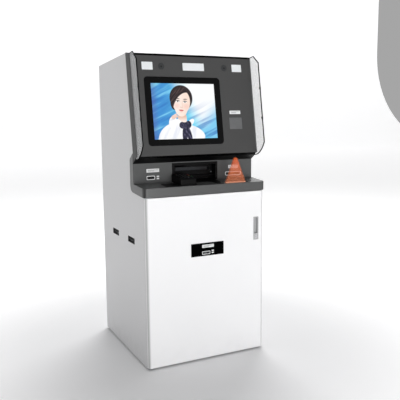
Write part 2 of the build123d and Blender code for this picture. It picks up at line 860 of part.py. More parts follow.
def make_door():
    """Lower door: pan with rounded upright edges and openings for the plate, pull and pins."""
    pan = rounded_front(half, 0, door_depth, door_corner, door_bottom, door_top)
    hollow = rounded_front(half - sheet, sheet, door_depth + 1, door_corner - sheet, door_bottom + sheet,
                           door_top - sheet)
    pan -= hollow
    pan -= wall_tile(0, plate_rise, plate_width - 12, plate_height - 12, -5, 5, 3.0)
    pan -= wall_tile(pull_x, pull_rise, pull_width - 4, pull_height - 4, -5, 5, 3.0)
    return pan - rod(pivot_x, pivot_setback, 0, pin_radius + pin_play, door_top + 5, "z")


def make_door_ring():
    """Stiffening ring behind the door skin, with arms that carry the pivots."""
    x1 = half - 20.0
    z0 = door_bottom + 30.0
    z1 = door_top - 33.0
    u0 = sheet
    u1 = u0 + ring_depth
    ring_body = block(-x1, x1, u0, u1, z0, z1)
    ring_body -= block(-x1 + ring_width, x1 - ring_width, u0 - 1, u1 + 1, z0 + ring_width, z1 - ring_width)
    left = -half + sheet + 0.1
    for a, b in ((door_bottom + sheet + 0.1, z0 + 20), (z1 - 20, door_top - sheet - 0.1)):
        ring_body += block(left, -x1 + ring_width, door_corner, door_depth - 0.1, a, b)
        ring_body += block(left + 3.0, -x1 + ring_width, door_depth - 9.0, door_depth - 0.1, a, b)
    ring_body -= block(pull_x - pull_width / 2, pull_x + pull_width / 2, 0, ring_depth + 5,
                       pull_rise - pull_height / 2, pull_rise + pull_height / 2)
    return ring_body - rod(pivot_x, pivot_setback, 0, pin_radius + pin_play, door_top + 5, "z")


def make_door_plate():
    """Black plate on the door with a small slot and its chute behind."""
    plate = wall_tile(0, plate_rise, plate_width, plate_height, -1.5, 0, 2.0)
    plate += wall_tile(0, plate_rise, plate_width - 14, plate_height - 14, -1, 18, 2.0)
    x = -8.0
    z = plate_rise - 17.0
    slot = block(x - receipt_slot_width / 2 + 2, x + receipt_slot_width / 2 - 2, -3, 14, z - slot_gap / 2,
                 z + slot_gap / 2)
    return plate - slot


def make_door_markers():
    """Label plate, slot frame and lamp squares on the black plate."""
    x = 2.0
    z = plate_rise - 17.0
    face = -1.5
    plates = [wall_tile(x, plate_rise + 16.0, marker_width - 2, label_height - 2, face - 0.4, face, 1.0)]
    frame = wall_tile(-8.0, z, receipt_ring_width, 16.0, face - 0.4, face, 3.0)
    frame -= wall_tile(-8.0, z, receipt_ring_width - 5, 11.0, face - 1, face + 1, 2.0)
    plates.append(frame)
    for side in (-1, 1):
        plates.append(wall_tile(28.0, z + 3 + side * 5.0, 12.0, 6.0, face - 0.4, face, 0.8))
    return Compound(children=plates)


def make_pull():
    """Recessed grip cup in the door, with the lock's bore at its lower end."""
    cup = wall_tile(pull_x, pull_rise, pull_width, pull_height, -1.2, 0, 3.0)
    cup += wall_tile(pull_x, pull_rise, pull_width - 4.4, pull_height - 4.4, -1, 20, 3.0)
    cup -= wall_tile(pull_x, pull_rise + 14, pull_width - 10, pull_height - 38, -3, pull_deep, 4.0)
    return cup - rod(pull_x, -3, keeper_z(), lock_radius + 0.1, 30, "y")


def make_lock():
    """Key cylinder with its keyway and the cam behind the door."""
    z = keeper_z()
    barrel = rod(pull_x, -1.0, z, lock_radius, 32.0, "y")
    barrel -= block(pull_x - 0.8, pull_x + 0.8, -2, 6, z - 4, z + 4)
    cam = block(pull_x - 6, pull_x + 6, 31, 34, z - 36, z + 6)
    return barrel + cam


def make_fascia():
    """Fascia shell: front plate, wing pockets, side flanges and the moving hinge barrels."""
    inner = outer_half - sheet - wing_thick - 0.4
    wall_in = inner - fascia_skin
    top = fascia_length
    body = slab(-inner, inner, 0, fascia_skin, chin_rise, top)
    for sign in (-1, 1):
        a, b = sorted((sign * wall_in, sign * inner))
        body += slab(a, b, 0, wing_root + 3.5, chin_rise, top)
        a, b = sorted((sign * wall_in, sign * outer_half))
        body += slab(a, b, wing_root + 0.5, wing_root + 3.5, chin_rise, top)
    body -= tile(screen_shift, screen_rise, bezel_width() - 10, bezel_height() - 10, -5, 10, 14.0)
    for x, s, width, height in fascia_windows():
        body -= tile(x, s, width - 4, height - 4, -5, 10, 1.5)
    for x in (-camera_x, camera_x):
        body -= Location((x, -5, light_row), (-90, 0, 0)) * Cylinder(
            camera_radius - 1, 20, align=(Align.CENTER, Align.CENTER, Align.MIN))
    body = fascia_place * body
    front_foot = on_fascia(0, chin_rise)
    mid_foot = on_fascia((chin_skin + 0.6) / (chin_slope() - math.tan(lean)), chin_rise)
    front_top = on_fascia(0, fascia_length)
    rear_top = (roof_front - barrel_radius - 0.8, total_height - 2.0)
    rear_u = on_fascia(fascia_depth, 0)[0]
    rear_foot = (rear_u, front_foot[1] - (rear_u - front_foot[0]) * chin_slope() + chin_skin + 0.6)
    flange = [front_foot, front_top, rear_top, rear_foot, mid_foot]
    for sign in (-1, 1):
        a, b = sorted((sign * (outer_half - sheet), sign * outer_half))
        body += profile(flange, a, b)
    cover = [front_top, rear_top, (rear_top[0], rear_top[1] - fascia_skin),
             (front_top[0], front_top[1] - fascia_skin)]
    body += profile(cover, -outer_half, outer_half)
    return body + fascia_barrels(rear_top)


def chin_slope():
    """Fall of the chin for each millimetre of setback."""
    u, z = on_fascia(0.3, chin_rise - 0.4)
    return (z - chin_height + chin_drop) / (wall_setback - 1.0 - u)


def on_fascia(behind, rise):
    """Setback and height of a point given behind the fascia's front face and up its slope."""
    spot = (fascia_place * Pos(0, behind, rise)).position
    return (spot.Y - front_y, spot.Z)


def fascia_barrels(rear_top):
    """Moving hinge barrels and the leaves that join them to the fascia's top plate."""
    u, z = rear_top
    barrels = []
    for x0, x1 in knuckles(False):
        leaf = profile([(u - 3.0, z), (roof_front, z), (roof_front, z - fascia_skin - 3.0),
                        (u - 3.0, z - fascia_skin)], x0, x1)
        leaf += rod(x0, roof_front, barrel_z, barrel_radius, x1 - x0, "x")
        barrels.append(leaf - rod(x0 - 1, roof_front, barrel_z, pin_radius + pin_play, x1 - x0 + 2, "x"))
    return barrels


def bezel_width():
    """Outer width of the screen surround."""
    return screen_width + 2 * bezel_border_x


def bezel_height():
    """Outer height of the screen surround."""
    return screen_height + 2 * bezel_border_z


def fascia_windows():
    """Flat windows in the fascia as X, rise, width and height."""
    return [
        (-light_side_x, light_row, light_side_width, light_height),
        (0.0, light_row, light_mid_width, light_height),
        (light_side_x, light_row, light_side_width, light_height),
        (reader_x, reader_rise, reader_width, reader_height),
    ]


def make_lights():
    """Three lit panels across the top of the fascia."""
    panels = []
    for x, s, width, height in fascia_windows()[:3]:
        panel = tile(x, s, width, height, -1.0, 0, 2.0)
        panel += tile(x, s, width - 4.6, height - 4.6, -0.5, 9, 1.5)
        panels.append(fascia_place * panel)
    return Compound(children=panels)


def make_cameras():
    """Two dark round camera windows."""
    discs = []
    for x in (-camera_x, camera_x):
        disc = Location((x, -0.8, light_row), (-90, 0, 0)) * Cylinder(
            camera_radius, 0.8, align=(Align.CENTER, Align.CENTER, Align.MIN))
        tube = Location((x, -0.5, light_row), (-90, 0, 0)) * Cylinder(
            camera_radius - 1.3, 26, align=(Align.CENTER, Align.CENTER, Align.MIN))
        discs.append(fascia_place * (disc + tube))
    return Compound(children=discs)


def make_reader():
    """Contactless reader: grey window, its body behind, and the white label above."""
    window = tile(reader_x, reader_rise, reader_width, reader_height, -1.0, 0, 2.0)
    window += tile(reader_x, reader_rise, reader_width - 4.6, reader_height - 4.6, -0.5, 22, 1.5)
    label = tile(reader_x, label_rise, label_width, label_height, -0.6, 0, 1.0)
    return fascia_place * window, fascia_place * label


def make_bezel():
    """Black screen surround, sloping down to the panel."""
    frame = tile(screen_shift, screen_rise, bezel_width(), bezel_height(), -bezel_proud, 0, 18.0)
    frame += tile(screen_shift, screen_rise, bezel_width() - 10.6, bezel_height() - 10.6, -1, 8, 13.0)
    frame = chamfer(frame.faces().sort_by(Axis.Y)[0].outer_wire().edges(), 1.6)
    opening = tile(screen_shift, screen_rise, screen_width, screen_height, -10, 20, 2.0)
    frame -= opening
    return fascia_place * frame


def make_screen():
    """Display module: panel in the surround and its electronics box behind."""
    panel = tile(screen_shift, screen_rise, screen_width - 0.4, screen_height - 0.4, 2.0, 8.0, 1.8)
    panel += tile(screen_shift, screen_rise, screen_width + 24, screen_height + 20, 8.0, 22.0, 2.0)
    panel += tile(screen_shift, screen_rise, screen_width - 90, screen_height - 90, 21.0, 40.0, 2.0)
    return fascia_place * panel


def make_chin():
    """Black underside of the fascia, falling back to the recess wall, with a lip behind the plate."""
    rear = wall_setback - 1.0
    low = chin_height - chin_drop
    front_u, front_z = on_fascia(0.3, chin_rise - 0.4)
    section = [(front_u, front_z), (rear, low), (rear, low + chin_skin), (front_u, front_z + chin_skin)]
    between_wings = outer_half - sheet - wing_thick - 0.9
    below = fascia_place * slab(-outer_half, outer_half, -5, 200, -60, chin_rise - 0.2)
    behind_wings = fascia_place * slab(-outer_half, outer_half, wing_root + 0.8, 200, -60, 60)
    tray = profile(section, -between_wings, between_wings) & below
    tray += profile(section, -outer_half, outer_half) & behind_wings
    x = between_wings - fascia_skin
    lip = fascia_place * slab(-x, x, fascia_skin + 0.2, fascia_skin + 3.2, chin_rise - 2.0, chin_rise + 10.0)
    upstand = block(-x, x, rear - 3.0, rear, low + 2.0, low + 30.0)
    return tray + lip + upstand


def wing_outline(grow):
    """Wing's outline in the fascia's own directions, grown outwards by a trim thickness."""
    reach = -wing_reach - grow
    top = fascia_length - wing_drop + grow
    slack = grow * 0.41
    foot = (wing_root, 0.4 if grow == 0 else -grow)
    toe = (0.0, -grow)
    knee = (reach, wing_low - slack)
    with BuildLine() as line:
        Polyline(foot, toe)
        ThreePointArc(toe, (-42.0 - grow * 0.7, 16.5 - grow * 0.7), knee)
        Polyline(knee, (reach, top - grow - wing_chamfer + slack), (reach + wing_chamfer + slack, top),
                 (wing_root, top), foot)
    return line


def wing_solid(grow, x0, x1):
    """Wing plate, or its grown outline, between two X."""
    face = make_face(wing_outline(grow).edges())
    return extrude(Plane.YZ.offset(x0) * face, x1 - x0)


def make_wing(sign):
    """Privacy wing: thin plate that stands forward of the fascia."""
    a, b = sorted((sign * (outer_half - sheet - wing_thick - 0.1), sign * (outer_half - sheet - 0.1)))
    return fascia_place * wing_solid(0, a, b)


def make_wing_trim():
    """Black edging round both wings, with two clips on each front edge."""
    strips = []
    for sign in (-1, 1):
        a, b = sorted((sign * (outer_half - sheet - wing_thick - 0.6), sign * (outer_half - sheet + 0.4)))
        strip = wing_solid(trim_thick, a, b) - wing_solid(0, a - 1, b + 1)
        ahead = slab(-outer_half - 1, outer_half + 1, -200, -0.5, -50, fascia_length + 50)
        under = slab(-outer_half - 1, outer_half + 1, -1, wing_root, -50, -0.1)
        strip &= ahead + under
        for s in (170.0, fascia_length - 178.0):
            clip = slab(a - 0.6, b + 0.6, -wing_reach - trim_thick - 0.6, -wing_reach + 5, s, s + 9)
            clip -= slab(*sorted((sign * (outer_half - sheet - wing_thick - 0.1),
                                  sign * (outer_half - sheet - 0.1))),
                         -wing_reach, -wing_reach + 6, s - 1, s + 10)
            strip += clip
        strips.append(fascia_place * strip)
    return Compound(children=strips)


save(make_side(-1), "side_panel_left")
save(make_side(1), "side_panel_right")
save(make_side_slots(), "side_slots")
save(make_roof(), "roof_panel")
save(make_rear(), "rear_panel")
save(make_base(), "base_frame")
save(make_feet(), "levelling_feet")
save(make_frame(), "inner_frame")
save(make_pins(), "hinge_pins")
save(make_shelf(), "shelf_housing")
save(make_wall(), "recess_wall")
save(make_recess(), "cash_recess")
save(make_shutter(), "cash_shutter")
save(make_pad(), "keypad_housing")
for name, place in zip(key_names(), key_layout()):
    save(make_key(*place), name)
save(make_slot_bezel(card_x, card_ring_width, card_slot_width), "card_bezel")
save(make_card_reader(), "card_reader")
save(make_slot_bezel(-receipt_x(), receipt_ring_width, receipt_slot_width), "receipt_bezel")
save(make_printer(), "receipt_printer")
save(make_roll(), "receipt_roll")
save(make_wall_markers(), "wall_markers")
save(make_guard(), "card_guard")
save(make_safe(), "safe_body")
save(make_vault_door(), "vault_door")
save(make_dial(), "vault_dial")
save(make_handle(), "vault_handle")
save(make_cassettes(), "cash_cassettes")
save(make_dispenser(), "cash_dispenser")
save(make_pc(), "control_computer")
save(make_inlet(), "power_inlet")
save(make_door(), "door_skin")
save(make_door_ring(), "door_frame")
save(make_door_plate(), "door_plate")
save(make_door_markers(), "door_markers")
save(make_pull(), "door_pull")
save(make_lock(), "door_lock")
save(make_fascia(), "fascia_panel")
save(make_chin(), "fascia_chin")
save(make_bezel(), "screen_bezel")
save(make_screen(), "display_module")
save(make_lights(), "light_panels")
save(make_cameras(), "camera_windows")
reader_window, reader_label = make_reader()
save(Compound(children=[reader_window, reader_label]), "contactless_reader")
save(make_wing(-1), "wing_left")
save(make_wing(1), "wing_right")
save(make_wing_trim(), "wing_trim")
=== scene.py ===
import json
import math

import bpy
from mathutils import Matrix, Vector


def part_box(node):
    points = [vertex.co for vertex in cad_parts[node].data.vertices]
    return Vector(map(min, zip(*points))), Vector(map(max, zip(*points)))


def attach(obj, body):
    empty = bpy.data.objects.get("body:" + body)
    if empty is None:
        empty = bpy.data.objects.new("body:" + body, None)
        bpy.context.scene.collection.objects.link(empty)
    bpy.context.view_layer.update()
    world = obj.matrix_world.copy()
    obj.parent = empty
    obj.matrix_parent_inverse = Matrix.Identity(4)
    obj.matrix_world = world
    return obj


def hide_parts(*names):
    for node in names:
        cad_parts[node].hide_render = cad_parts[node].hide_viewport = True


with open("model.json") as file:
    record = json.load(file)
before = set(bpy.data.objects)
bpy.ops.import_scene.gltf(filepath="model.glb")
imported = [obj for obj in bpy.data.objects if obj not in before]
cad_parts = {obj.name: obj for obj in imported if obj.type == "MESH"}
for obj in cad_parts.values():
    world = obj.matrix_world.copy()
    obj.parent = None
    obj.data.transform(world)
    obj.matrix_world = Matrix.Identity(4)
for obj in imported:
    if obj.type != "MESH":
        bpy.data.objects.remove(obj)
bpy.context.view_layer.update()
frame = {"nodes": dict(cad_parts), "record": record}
nodes = frame["nodes"]
bodies = frame["record"]["behaviour"]["bodies"]
bodyOfNode = {node: body for body, members in bodies.items() for node in members}
mm = 0.001


def letGo():
    # object mode, nothing selected
    if bpy.context.object and bpy.context.object.mode != "OBJECT":
        bpy.ops.object.mode_set(mode="OBJECT")
    for other in list(bpy.context.selected_objects):
        other.select_set(False)


def grab(piece):
    letGo()
    piece.select_set(True)
    bpy.context.view_layer.objects.active = piece


def editAll(piece):
    grab(piece)
    bpy.ops.object.mode_set(mode="EDIT")
    bpy.ops.mesh.select_mode(type="FACE")
    bpy.ops.mesh.select_all(action="SELECT")


def pickEdges(piece, wanted):
    # edit mode with only the wanted edges selected
    editAll(piece)
    bpy.ops.mesh.select_mode(type="EDGE")
    bpy.ops.mesh.select_all(action="DESELECT")
    bpy.ops.object.mode_set(mode="OBJECT")
    for edge in piece.data.edges:
        edge.select = wanted([piece.data.vertices[end].co for end in edge.vertices])
    bpy.ops.object.mode_set(mode="EDIT")


def doneEditing():
    bpy.ops.object.mode_set(mode="OBJECT")


def addModifier(piece, kind, **settings):
    # add a modifier and apply it at once
    grab(piece)
    modifier = piece.modifiers.new(kind.lower(), kind)
    for key, value in settings.items():
        setattr(modifier, key, value)
    bpy.ops.object.modifier_apply(modifier=modifier.name)


def smooth(piece, degrees):
    grab(piece)
    bpy.ops.object.shade_smooth_by_angle(angle=math.radians(degrees))


easedEdge = {"segments": 2, "sharpFrom": 30, "smoothTo": 40, "flatPull": 60}


def roundEdges(piece, width):
    addModifier(piece, "BEVEL", width=width * mm, segments=easedEdge["segments"], limit_method="ANGLE",
                angle_limit=math.radians(easedEdge["sharpFrom"]), use_clamp_overlap=False,
                miter_outer="MITER_ARC")
    smooth(piece, easedEdge["smoothTo"])
    addModifier(piece, "WEIGHTED_NORMAL", keep_sharp=True, weight=easedEdge["flatPull"])


def joined(pieces, name):
    # several meshes become one piece
    letGo()
    for piece in pieces:
        piece.select_set(True)
    bpy.context.view_layer.objects.active = pieces[0]
    if len(pieces) > 1:
        bpy.ops.object.join()
    pieces[0].name = name
    pieces[0].data.name = name
    return pieces[0]


def settle(piece, name, place, body, finish):
    # put the place in the mesh, then hang the piece on its body
    piece.data.transform(place @ piece.matrix_basis)
    piece.matrix_basis = Matrix.Identity(4)
    piece.name = name
    piece.data.name = name
    piece.data.materials.clear()
    piece.data.materials.append(finish)
    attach(piece, body)


def twin(piece, name):
    # a copy with its own mesh
    other = bpy.data.objects.new(name, piece.data.copy())
    bpy.context.scene.collection.objects.link(other)
    return other


def at(x, y, z=0.0):
    # a move in millimetres
    return Matrix.Translation((x * mm, y * mm, z * mm))


def turned(degrees, axis="Z"):
    return Matrix.Rotation(math.radians(degrees), 4, axis)


def facingFront(x, y, z):
    # a place in metres whose own Z looks out of the front
    return Matrix.Translation((x, y, z)) @ turned(90, "X")


flatness = {"along": 0.98, "levelDigits": 4, "cornerDigits": 5}


def flatSpots(node, toward):
    # flat patches of a CAD node that look one way, largest first, as (place, width, height) in metres
    # a place's X runs to the right as one faces the patch
    mesh = nodes[node].data
    aim = Vector(toward).normalized()
    groups = []
    for face in mesh.polygons:
        if face.normal.dot(aim) < flatness["along"]:
            continue
        level = round(face.center.dot(face.normal), flatness["levelDigits"])
        corners = {tuple(round(c, flatness["cornerDigits"]) for c in mesh.vertices[v].co)
                   for v in face.vertices}
        found = {"level": level, "corners": corners, "area": face.area, "normal": face.normal.copy()}
        for other in [g for g in groups if g["level"] == level and g["corners"] & corners]:
            found["corners"] |= other["corners"]
            found["area"] += other["area"]
            groups.remove(other)
        groups.append(found)
    result = []
    for group in sorted(groups, key=lambda g: -g["area"]):
        out = group["normal"]
        across = Vector((-1 if toward[1] > 0 else 1, 0, 0))
        across = (across - out * across.dot(out)).normalized()
        up = out.cross(across)
        points = [Vector(corner) for corner in group["corners"]]
        wide = [point.dot(across) for point in points]
        tall = [point.dot(up) for point in points]
        place = Matrix((across, up, out)).transposed().to_4x4()
        place.translation = (across * (min(wide) + max(wide)) / 2 + up * (min(tall) + max(tall)) / 2
                             + out * points[0].dot(out))
        result.append((place, max(wide) - min(wide), max(tall) - min(tall)))
    return result


class Wire:
    # a socket that takes part in sums
    def __init__(self, tree, socket):
        self.tree = tree
        self.socket = socket

    def __add__(self, other):
        return self.tree.sum("ADD", self, other)

    def __sub__(self, other):
        return self.tree.sum("SUBTRACT", self, other)

    def __rsub__(self, other):
        return self.tree.sum("SUBTRACT", other, self)

    def __mul__(self, other):
        return self.tree.sum("MULTIPLY", self, other)

    def __pow__(self, other):
        return self.tree.sum("POWER", self, other)

    def __or__(self, other):
        return self.tree.sum("MAXIMUM", self, other)

    __radd__ = __add__
    __rmul__ = __mul__


class NodeTree:
    # adds nodes to one tree and joins them
    def __init__(self, tree):
        self.nodes = tree.nodes
        self.links = tree.links

    def add(self, kind, settings, values):
        # settings first, then the values or links of the sockets
        node = self.nodes.new(kind)
        for key, value in settings.items():
            setattr(node, key, value)
        for key, value in values.items():
            self.join(value, node.inputs[key])
        return node

    def join(self, value, socket):
        if isinstance(value, Wire):
            self.links.new(value.socket, socket)
        elif isinstance(value, bpy.types.NodeSocket):
            self.links.new(value, socket)
        elif socket.type == "RGBA" and len(value) == 3:
            socket.default_value = (*value, 1)
        else:
            socket.default_value = value

    def sum(self, operation, first, second):
        node = self.add("ShaderNodeMath", {"operation": operation}, {0: first, 1: second})
        return Wire(self, node.outputs[0])

    def wave(self, along, pitch):
        # a sine with one crest each pitch
        return self.sum("SINE", along * (2 * math.pi / pitch), 0.0)

    def split(self, places):
        out = self.add("ShaderNodeSeparateXYZ", {}, {0: places}).outputs
        return Wire(self, out[0]), Wire(self, out[1]), Wire(self, out[2])

    def fade(self, value, low, high, start=0.0, end=1.0):
        # smooth step from start at low to end at high
        values = {"Value": value, "From Min": low, "From Max": high, "To Min": start, "To Max": end}
        node = self.add("ShaderNodeMapRange", {"interpolation_type": "SMOOTHSTEP"}, values)
        return Wire(self, node.outputs[0])

    def mix(self, share, first, second):
        node = self.add("ShaderNodeMix", {"data_type": "RGBA"}, {0: share, 6: first, 7: second})
        return Wire(self, node.outputs[2])


class Finish(NodeTree):
    # one material on a Principled shader
    def __init__(self, name, **fixed):
        self.material = bpy.data.materials.new(name)
        self.material.use_nodes = True
        super().__init__(self.material.node_tree)
        self.nodes.clear()
        self.shader = self.add("ShaderNodeBsdfPrincipled", {}, fixed)
        self.add("ShaderNodeOutputMaterial", {}, {"Surface": self.shader.outputs[0]})

    def places(self, kind="Object"):
        return Wire(self, self.add("ShaderNodeTexCoord", {}, {}).outputs[kind])

    def mapped(self, places, move=(0, 0, 0), turn=(0, 0, 0), size=(1, 1, 1), kind="TEXTURE"):
        node = self.add("ShaderNodeMapping", {"vector_type": kind},
                        {"Vector": places, "Location": move, "Rotation": turn, "Scale": size})
        return Wire(self, node.outputs[0])

    def noise(self, places, scale, detail=2.0, rough=0.5, warp=0.0):
        node = self.add("ShaderNodeTexNoise", {}, {"Vector": places, "Scale": scale, "Detail": detail,
                                                   "Roughness": rough, "Distortion": warp})
        return Wire(self, node.outputs[0])

    def cells(self, places, scale, feature="F1"):
        node = self.add("ShaderNodeTexVoronoi", {"feature": feature}, {"Vector": places, "Scale": scale})
        return Wire(self, node.outputs[0])

    def oval(self, places, centre, radii, turn=0.0, soft=0.05):
        # 1 inside an ellipse, 0 outside
        local = self.mapped(places, (*centre, 0), (0, 0, math.radians(turn)), (*radii, 1))
        far = self.add("ShaderNodeVectorMath", {"operation": "LENGTH"}, {0: local}).outputs["Value"]
        return self.fade(far, 1 - soft, 1 + soft, 1.0, 0.0)

    def set(self, **feeds):
        for key, value in feeds.items():
            self.join(value, self.shader.inputs[key.replace("_", " ")])

    def bump(self, height, depth, strength=1.0):
        # depth in millimetres
        values = {"Strength": strength, "Distance": depth * mm, "Height": height}
        self.join(self.add("ShaderNodeBump", {}, values).outputs[0], self.shader.inputs["Normal"])


def tone(red, green=None, blue=None):
    # screen values 0 to 255 as linear colour
    values = (red, red if green is None else green, red if blue is None else blue)
    return tuple((v / 255 / 12.92) if v <= 10 else ((v / 255 + 0.055) / 1.055) ** 2.4 for v in values)


def shade(colour, share):
    return tuple(min(1.0, c * share) for c in colour)


def cornerBand(finish, places, node, radius, depth):
    # painted shade: a deeper tone on the two upright front corners of a node, where they turn away
    low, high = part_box(node)
    x, y = finish.split(places)[:2]
    inner = radius * mm
    outer = 0.2 * inner
    left = finish.fade(x, low.x + outer, low.x + inner, 1.0, 0.0)
    right = finish.fade(x, high.x - inner, high.x - outer)
    ahead = finish.fade(y, low.y + outer, low.y + inner, 1.0, 0.0)
    return (left | right) * ahead * depth


def powderPaint(name, colour, roughness, grain=0.9, depth=0.03, dust=0.0, gloss=0.3, corner=None):
    # cured powder coat: orange peel, faint clouding, dust that gathers near the floor
    paint = Finish(name, **{"Specular IOR Level": gloss})
    places = paint.places()
    peel = paint.noise(places, 1 / (grain * mm), 2)
    cloud = paint.noise(places, 2.6, 3)
    speck = paint.noise(places, 420.0, 1)
    body = paint.mix(cloud, shade(colour, 0.97), shade(colour, 1.025))
    body = paint.mix(paint.fade(speck, 0.66, 0.74) * 0.06, body, shade(colour, 0.6))
    height = paint.split(places)[2]
    low = paint.fade(height, 0.0, 0.16, 1.0, 0.0) * paint.fade(paint.noise(places, 22.0, 4), 0.35, 0.7)
    body = paint.mix(low * dust, body, shade(colour, 0.72))
    # painted shade darkens the rounded front corners when a corner is given
    if corner:
        body = paint.mix(cornerBand(paint, places, *corner), body, shade(colour, 0.2))
    paint.set(Base_Color=body,
              Roughness=roughness + (peel - 0.5) * 0.07 + (cloud - 0.5) * 0.12 + low * dust * 0.3)
    paint.bump(peel, depth, 0.5)
    return paint.material


def mouldedPlastic(name, colour, roughness, grain=0.7, depth=0.05, gloss=0.35, rub=0.0, corner=None):
    # spark-eroded mould grain, slightly polished where hands rub
    plastic = Finish(name, **{"Specular IOR Level": gloss})
    places = plastic.places()
    pits = plastic.cells(places, 1 / (grain * mm))
    broad = plastic.noise(places, 9.0, 3)
    worn = plastic.fade(plastic.noise(places, 14.0, 2), 0.5, 0.75) * rub
    body = plastic.mix(broad, shade(colour, 0.94), shade(colour, 1.06))
    body = plastic.mix(pits * 0.35, body, shade(colour, 0.8))
    # painted shade darkens the rounded front corners when a corner is given
    if corner:
        body = plastic.mix(cornerBand(plastic, places, *corner), body, shade(colour, 0.1))
    plastic.set(Base_Color=body, Roughness=roughness + (broad - 0.5) * 0.1 - worn * 0.18)
    plastic.bump(pits, depth, 0.45)
    return plastic.material


def glossPlastic(name, colour, roughness=0.16, gloss=0.35):
    # polished black moulding with hairline wipe marks
    plastic = Finish(name, **{"Specular IOR Level": gloss})
    places = plastic.places()
    wipes = plastic.noise(plastic.mapped(places, turn=(0, 0.5, 0), size=(0.22, 1, 0.004)), 1.0, 4)
    smear = plastic.noise(places, 11.0, 3)
    wave = plastic.noise(places, 5.0, 1)
    plastic.set(Base_Color=plastic.mix(smear, shade(colour, 0.9), shade(colour, 1.15)),
                Roughness=roughness + plastic.fade(wipes, 0.45, 0.8) * 0.06 + (smear - 0.5) * 0.08)
    plastic.bump(wave, 0.06, 0.3)
    return plastic.material


def brushedSteel(name, colour, roughness, along=(1, 0, 0), depth=0.012):
    # long fine scratches one way
    steel = Finish(name, Metallic=1.0)
    places = steel.places()
    stretch = tuple(0.05 if a else 0.0006 for a in along)
    lines = steel.noise(steel.mapped(places, size=stretch), 1.0, 3, 0.7)
    marks = steel.noise(places, 30.0, 3)
    steel.set(Base_Color=steel.mix(lines, shade(colour, 0.82), shade(colour, 1.12)),
              Roughness=roughness + (lines - 0.5) * 0.16 + (marks - 0.5) * 0.1)
    steel.bump(lines, depth, 0.5)
    return steel.material


def hammeredPaint(name, colour, roughness=0.38):
    # vault paint with its beaten texture and rubbed dull patches
    paint = Finish(name, **{"Specular IOR Level": 0.5})
    places = paint.places()
    dimples = paint.cells(places, 210.0, "SMOOTH_F1")
    cloud = paint.noise(places, 6.0, 3)
    paint.set(Base_Color=paint.mix(dimples, shade(colour, 1.2), shade(colour, 0.75)),
              Roughness=roughness + (cloud - 0.5) * 0.2, Metallic=0.25)
    paint.bump(dimples, 0.25, 0.7)
    return paint.material


def rubber(name, colour=(0.012, 0.012, 0.013), gloss=0.25):
    soft = Finish(name, **{"Specular IOR Level": gloss})
    places = soft.places()
    bloom = soft.noise(places, 40.0, 4)
    skin = soft.noise(places, 1900.0, 2)
    soft.set(Base_Color=soft.mix(bloom, colour, shade(colour, 1.9)), Roughness=0.62 + (bloom - 0.5) * 0.2)
    soft.bump(skin, 0.03, 0.5)
    return soft.material


def frostedSheet(name, colour):
    # satin acrylic sheet, faintly cloudy
    sheet = Finish(name, **{"Specular IOR Level": 0.3, "Coat Roughness": 0.3, "Coat Weight": 0.05})
    places = sheet.places()
    haze = sheet.noise(places, 4.0, 3)
    etch = sheet.noise(places, 1500.0, 2)
    streaks = sheet.noise(sheet.mapped(places, turn=(0.6, 0, 0), size=(1, 0.03, 0.5)), 9.0, 4)
    scuff = sheet.fade(streaks, 0.62, 0.8)
    sheet.set(Base_Color=sheet.mix(haze, shade(colour, 0.97), shade(colour, 1.02)),
              Roughness=0.42 + (etch - 0.5) * 0.1 + scuff * 0.12, Alpha=0.23 + haze * 0.04)
    sheet.bump(etch, 0.01, 0.08)
    return sheet.material


# edge is the colour of a painted highlight along the guard's foot
guardLook = {"paintedHighlightFull": 2.0, "paintedHighlightEnd": 9.0, "low": tone(233, 128, 78), "tip": tone(226, 98, 40),
             "cloud": tone(244, 150, 104), "edge": tone(250, 196, 168)}


def amberSheet(name):
    # tinted acrylic, deeper towards the tip, with a painted glow over the whole sheet and a painted highlight
    # along the foot
    sheet = Finish(name, **{"Specular IOR Level": 0.3, "Coat Roughness": 0.12, "Coat Weight": 0.1,
                            "Emission Strength": 0.24})
    low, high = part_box("card_guard")
    places = sheet.places()
    rise = sheet.split(places)[2]
    up = sheet.fade(rise, low.z, high.z)
    # painted highlight: a bright band along the foot, where the cut edge would catch light
    foot = sheet.fade(rise, low.z + guardLook["paintedHighlightFull"] * mm, low.z + guardLook["paintedHighlightEnd"] * mm, 1.0, 0.0)
    cloud = sheet.noise(places, 30.0, 3)
    body = sheet.mix(up, guardLook["low"], guardLook["tip"])
    body = sheet.mix(cloud * 0.2, body, guardLook["cloud"])
    body = sheet.mix(foot * 0.6, body, guardLook["edge"])
    # the emission is a painted glow, since the guard is no lamp
    sheet.set(Base_Color=body, Emission_Color=body, Roughness=0.28 + (cloud - 0.5) * 0.1,
              Alpha=0.15 + up * 0.16 + foot * 0.28)
    return sheet.material


lensLook = {"pitch": 2.4, "dark": tone(208, 212, 214), "light": tone(246, 247, 248)}


def lightLens(name):
    # lit diffuser: even glow with a fine cross ribbing
    lens = Finish(name, **{"Specular IOR Level": 0.3, "Emission Strength": 0.2})
    places = lens.places()
    x, _, z = lens.split(places)
    pitch = lensLook["pitch"] * mm
    net = (lens.wave(x, pitch) * 0.5 + 0.5) * (lens.wave(z, pitch) * 0.5 + 0.5)
    haze = lens.noise(places, 26.0, 2)
    body = lens.mix(net * 0.5 + haze * 0.3, lensLook["dark"], lensLook["light"])
    lens.set(Base_Color=body, Emission_Color=body, Roughness=0.3 + haze * 0.1)
    lens.bump(net, 0.3, 0.6)
    return lens.material


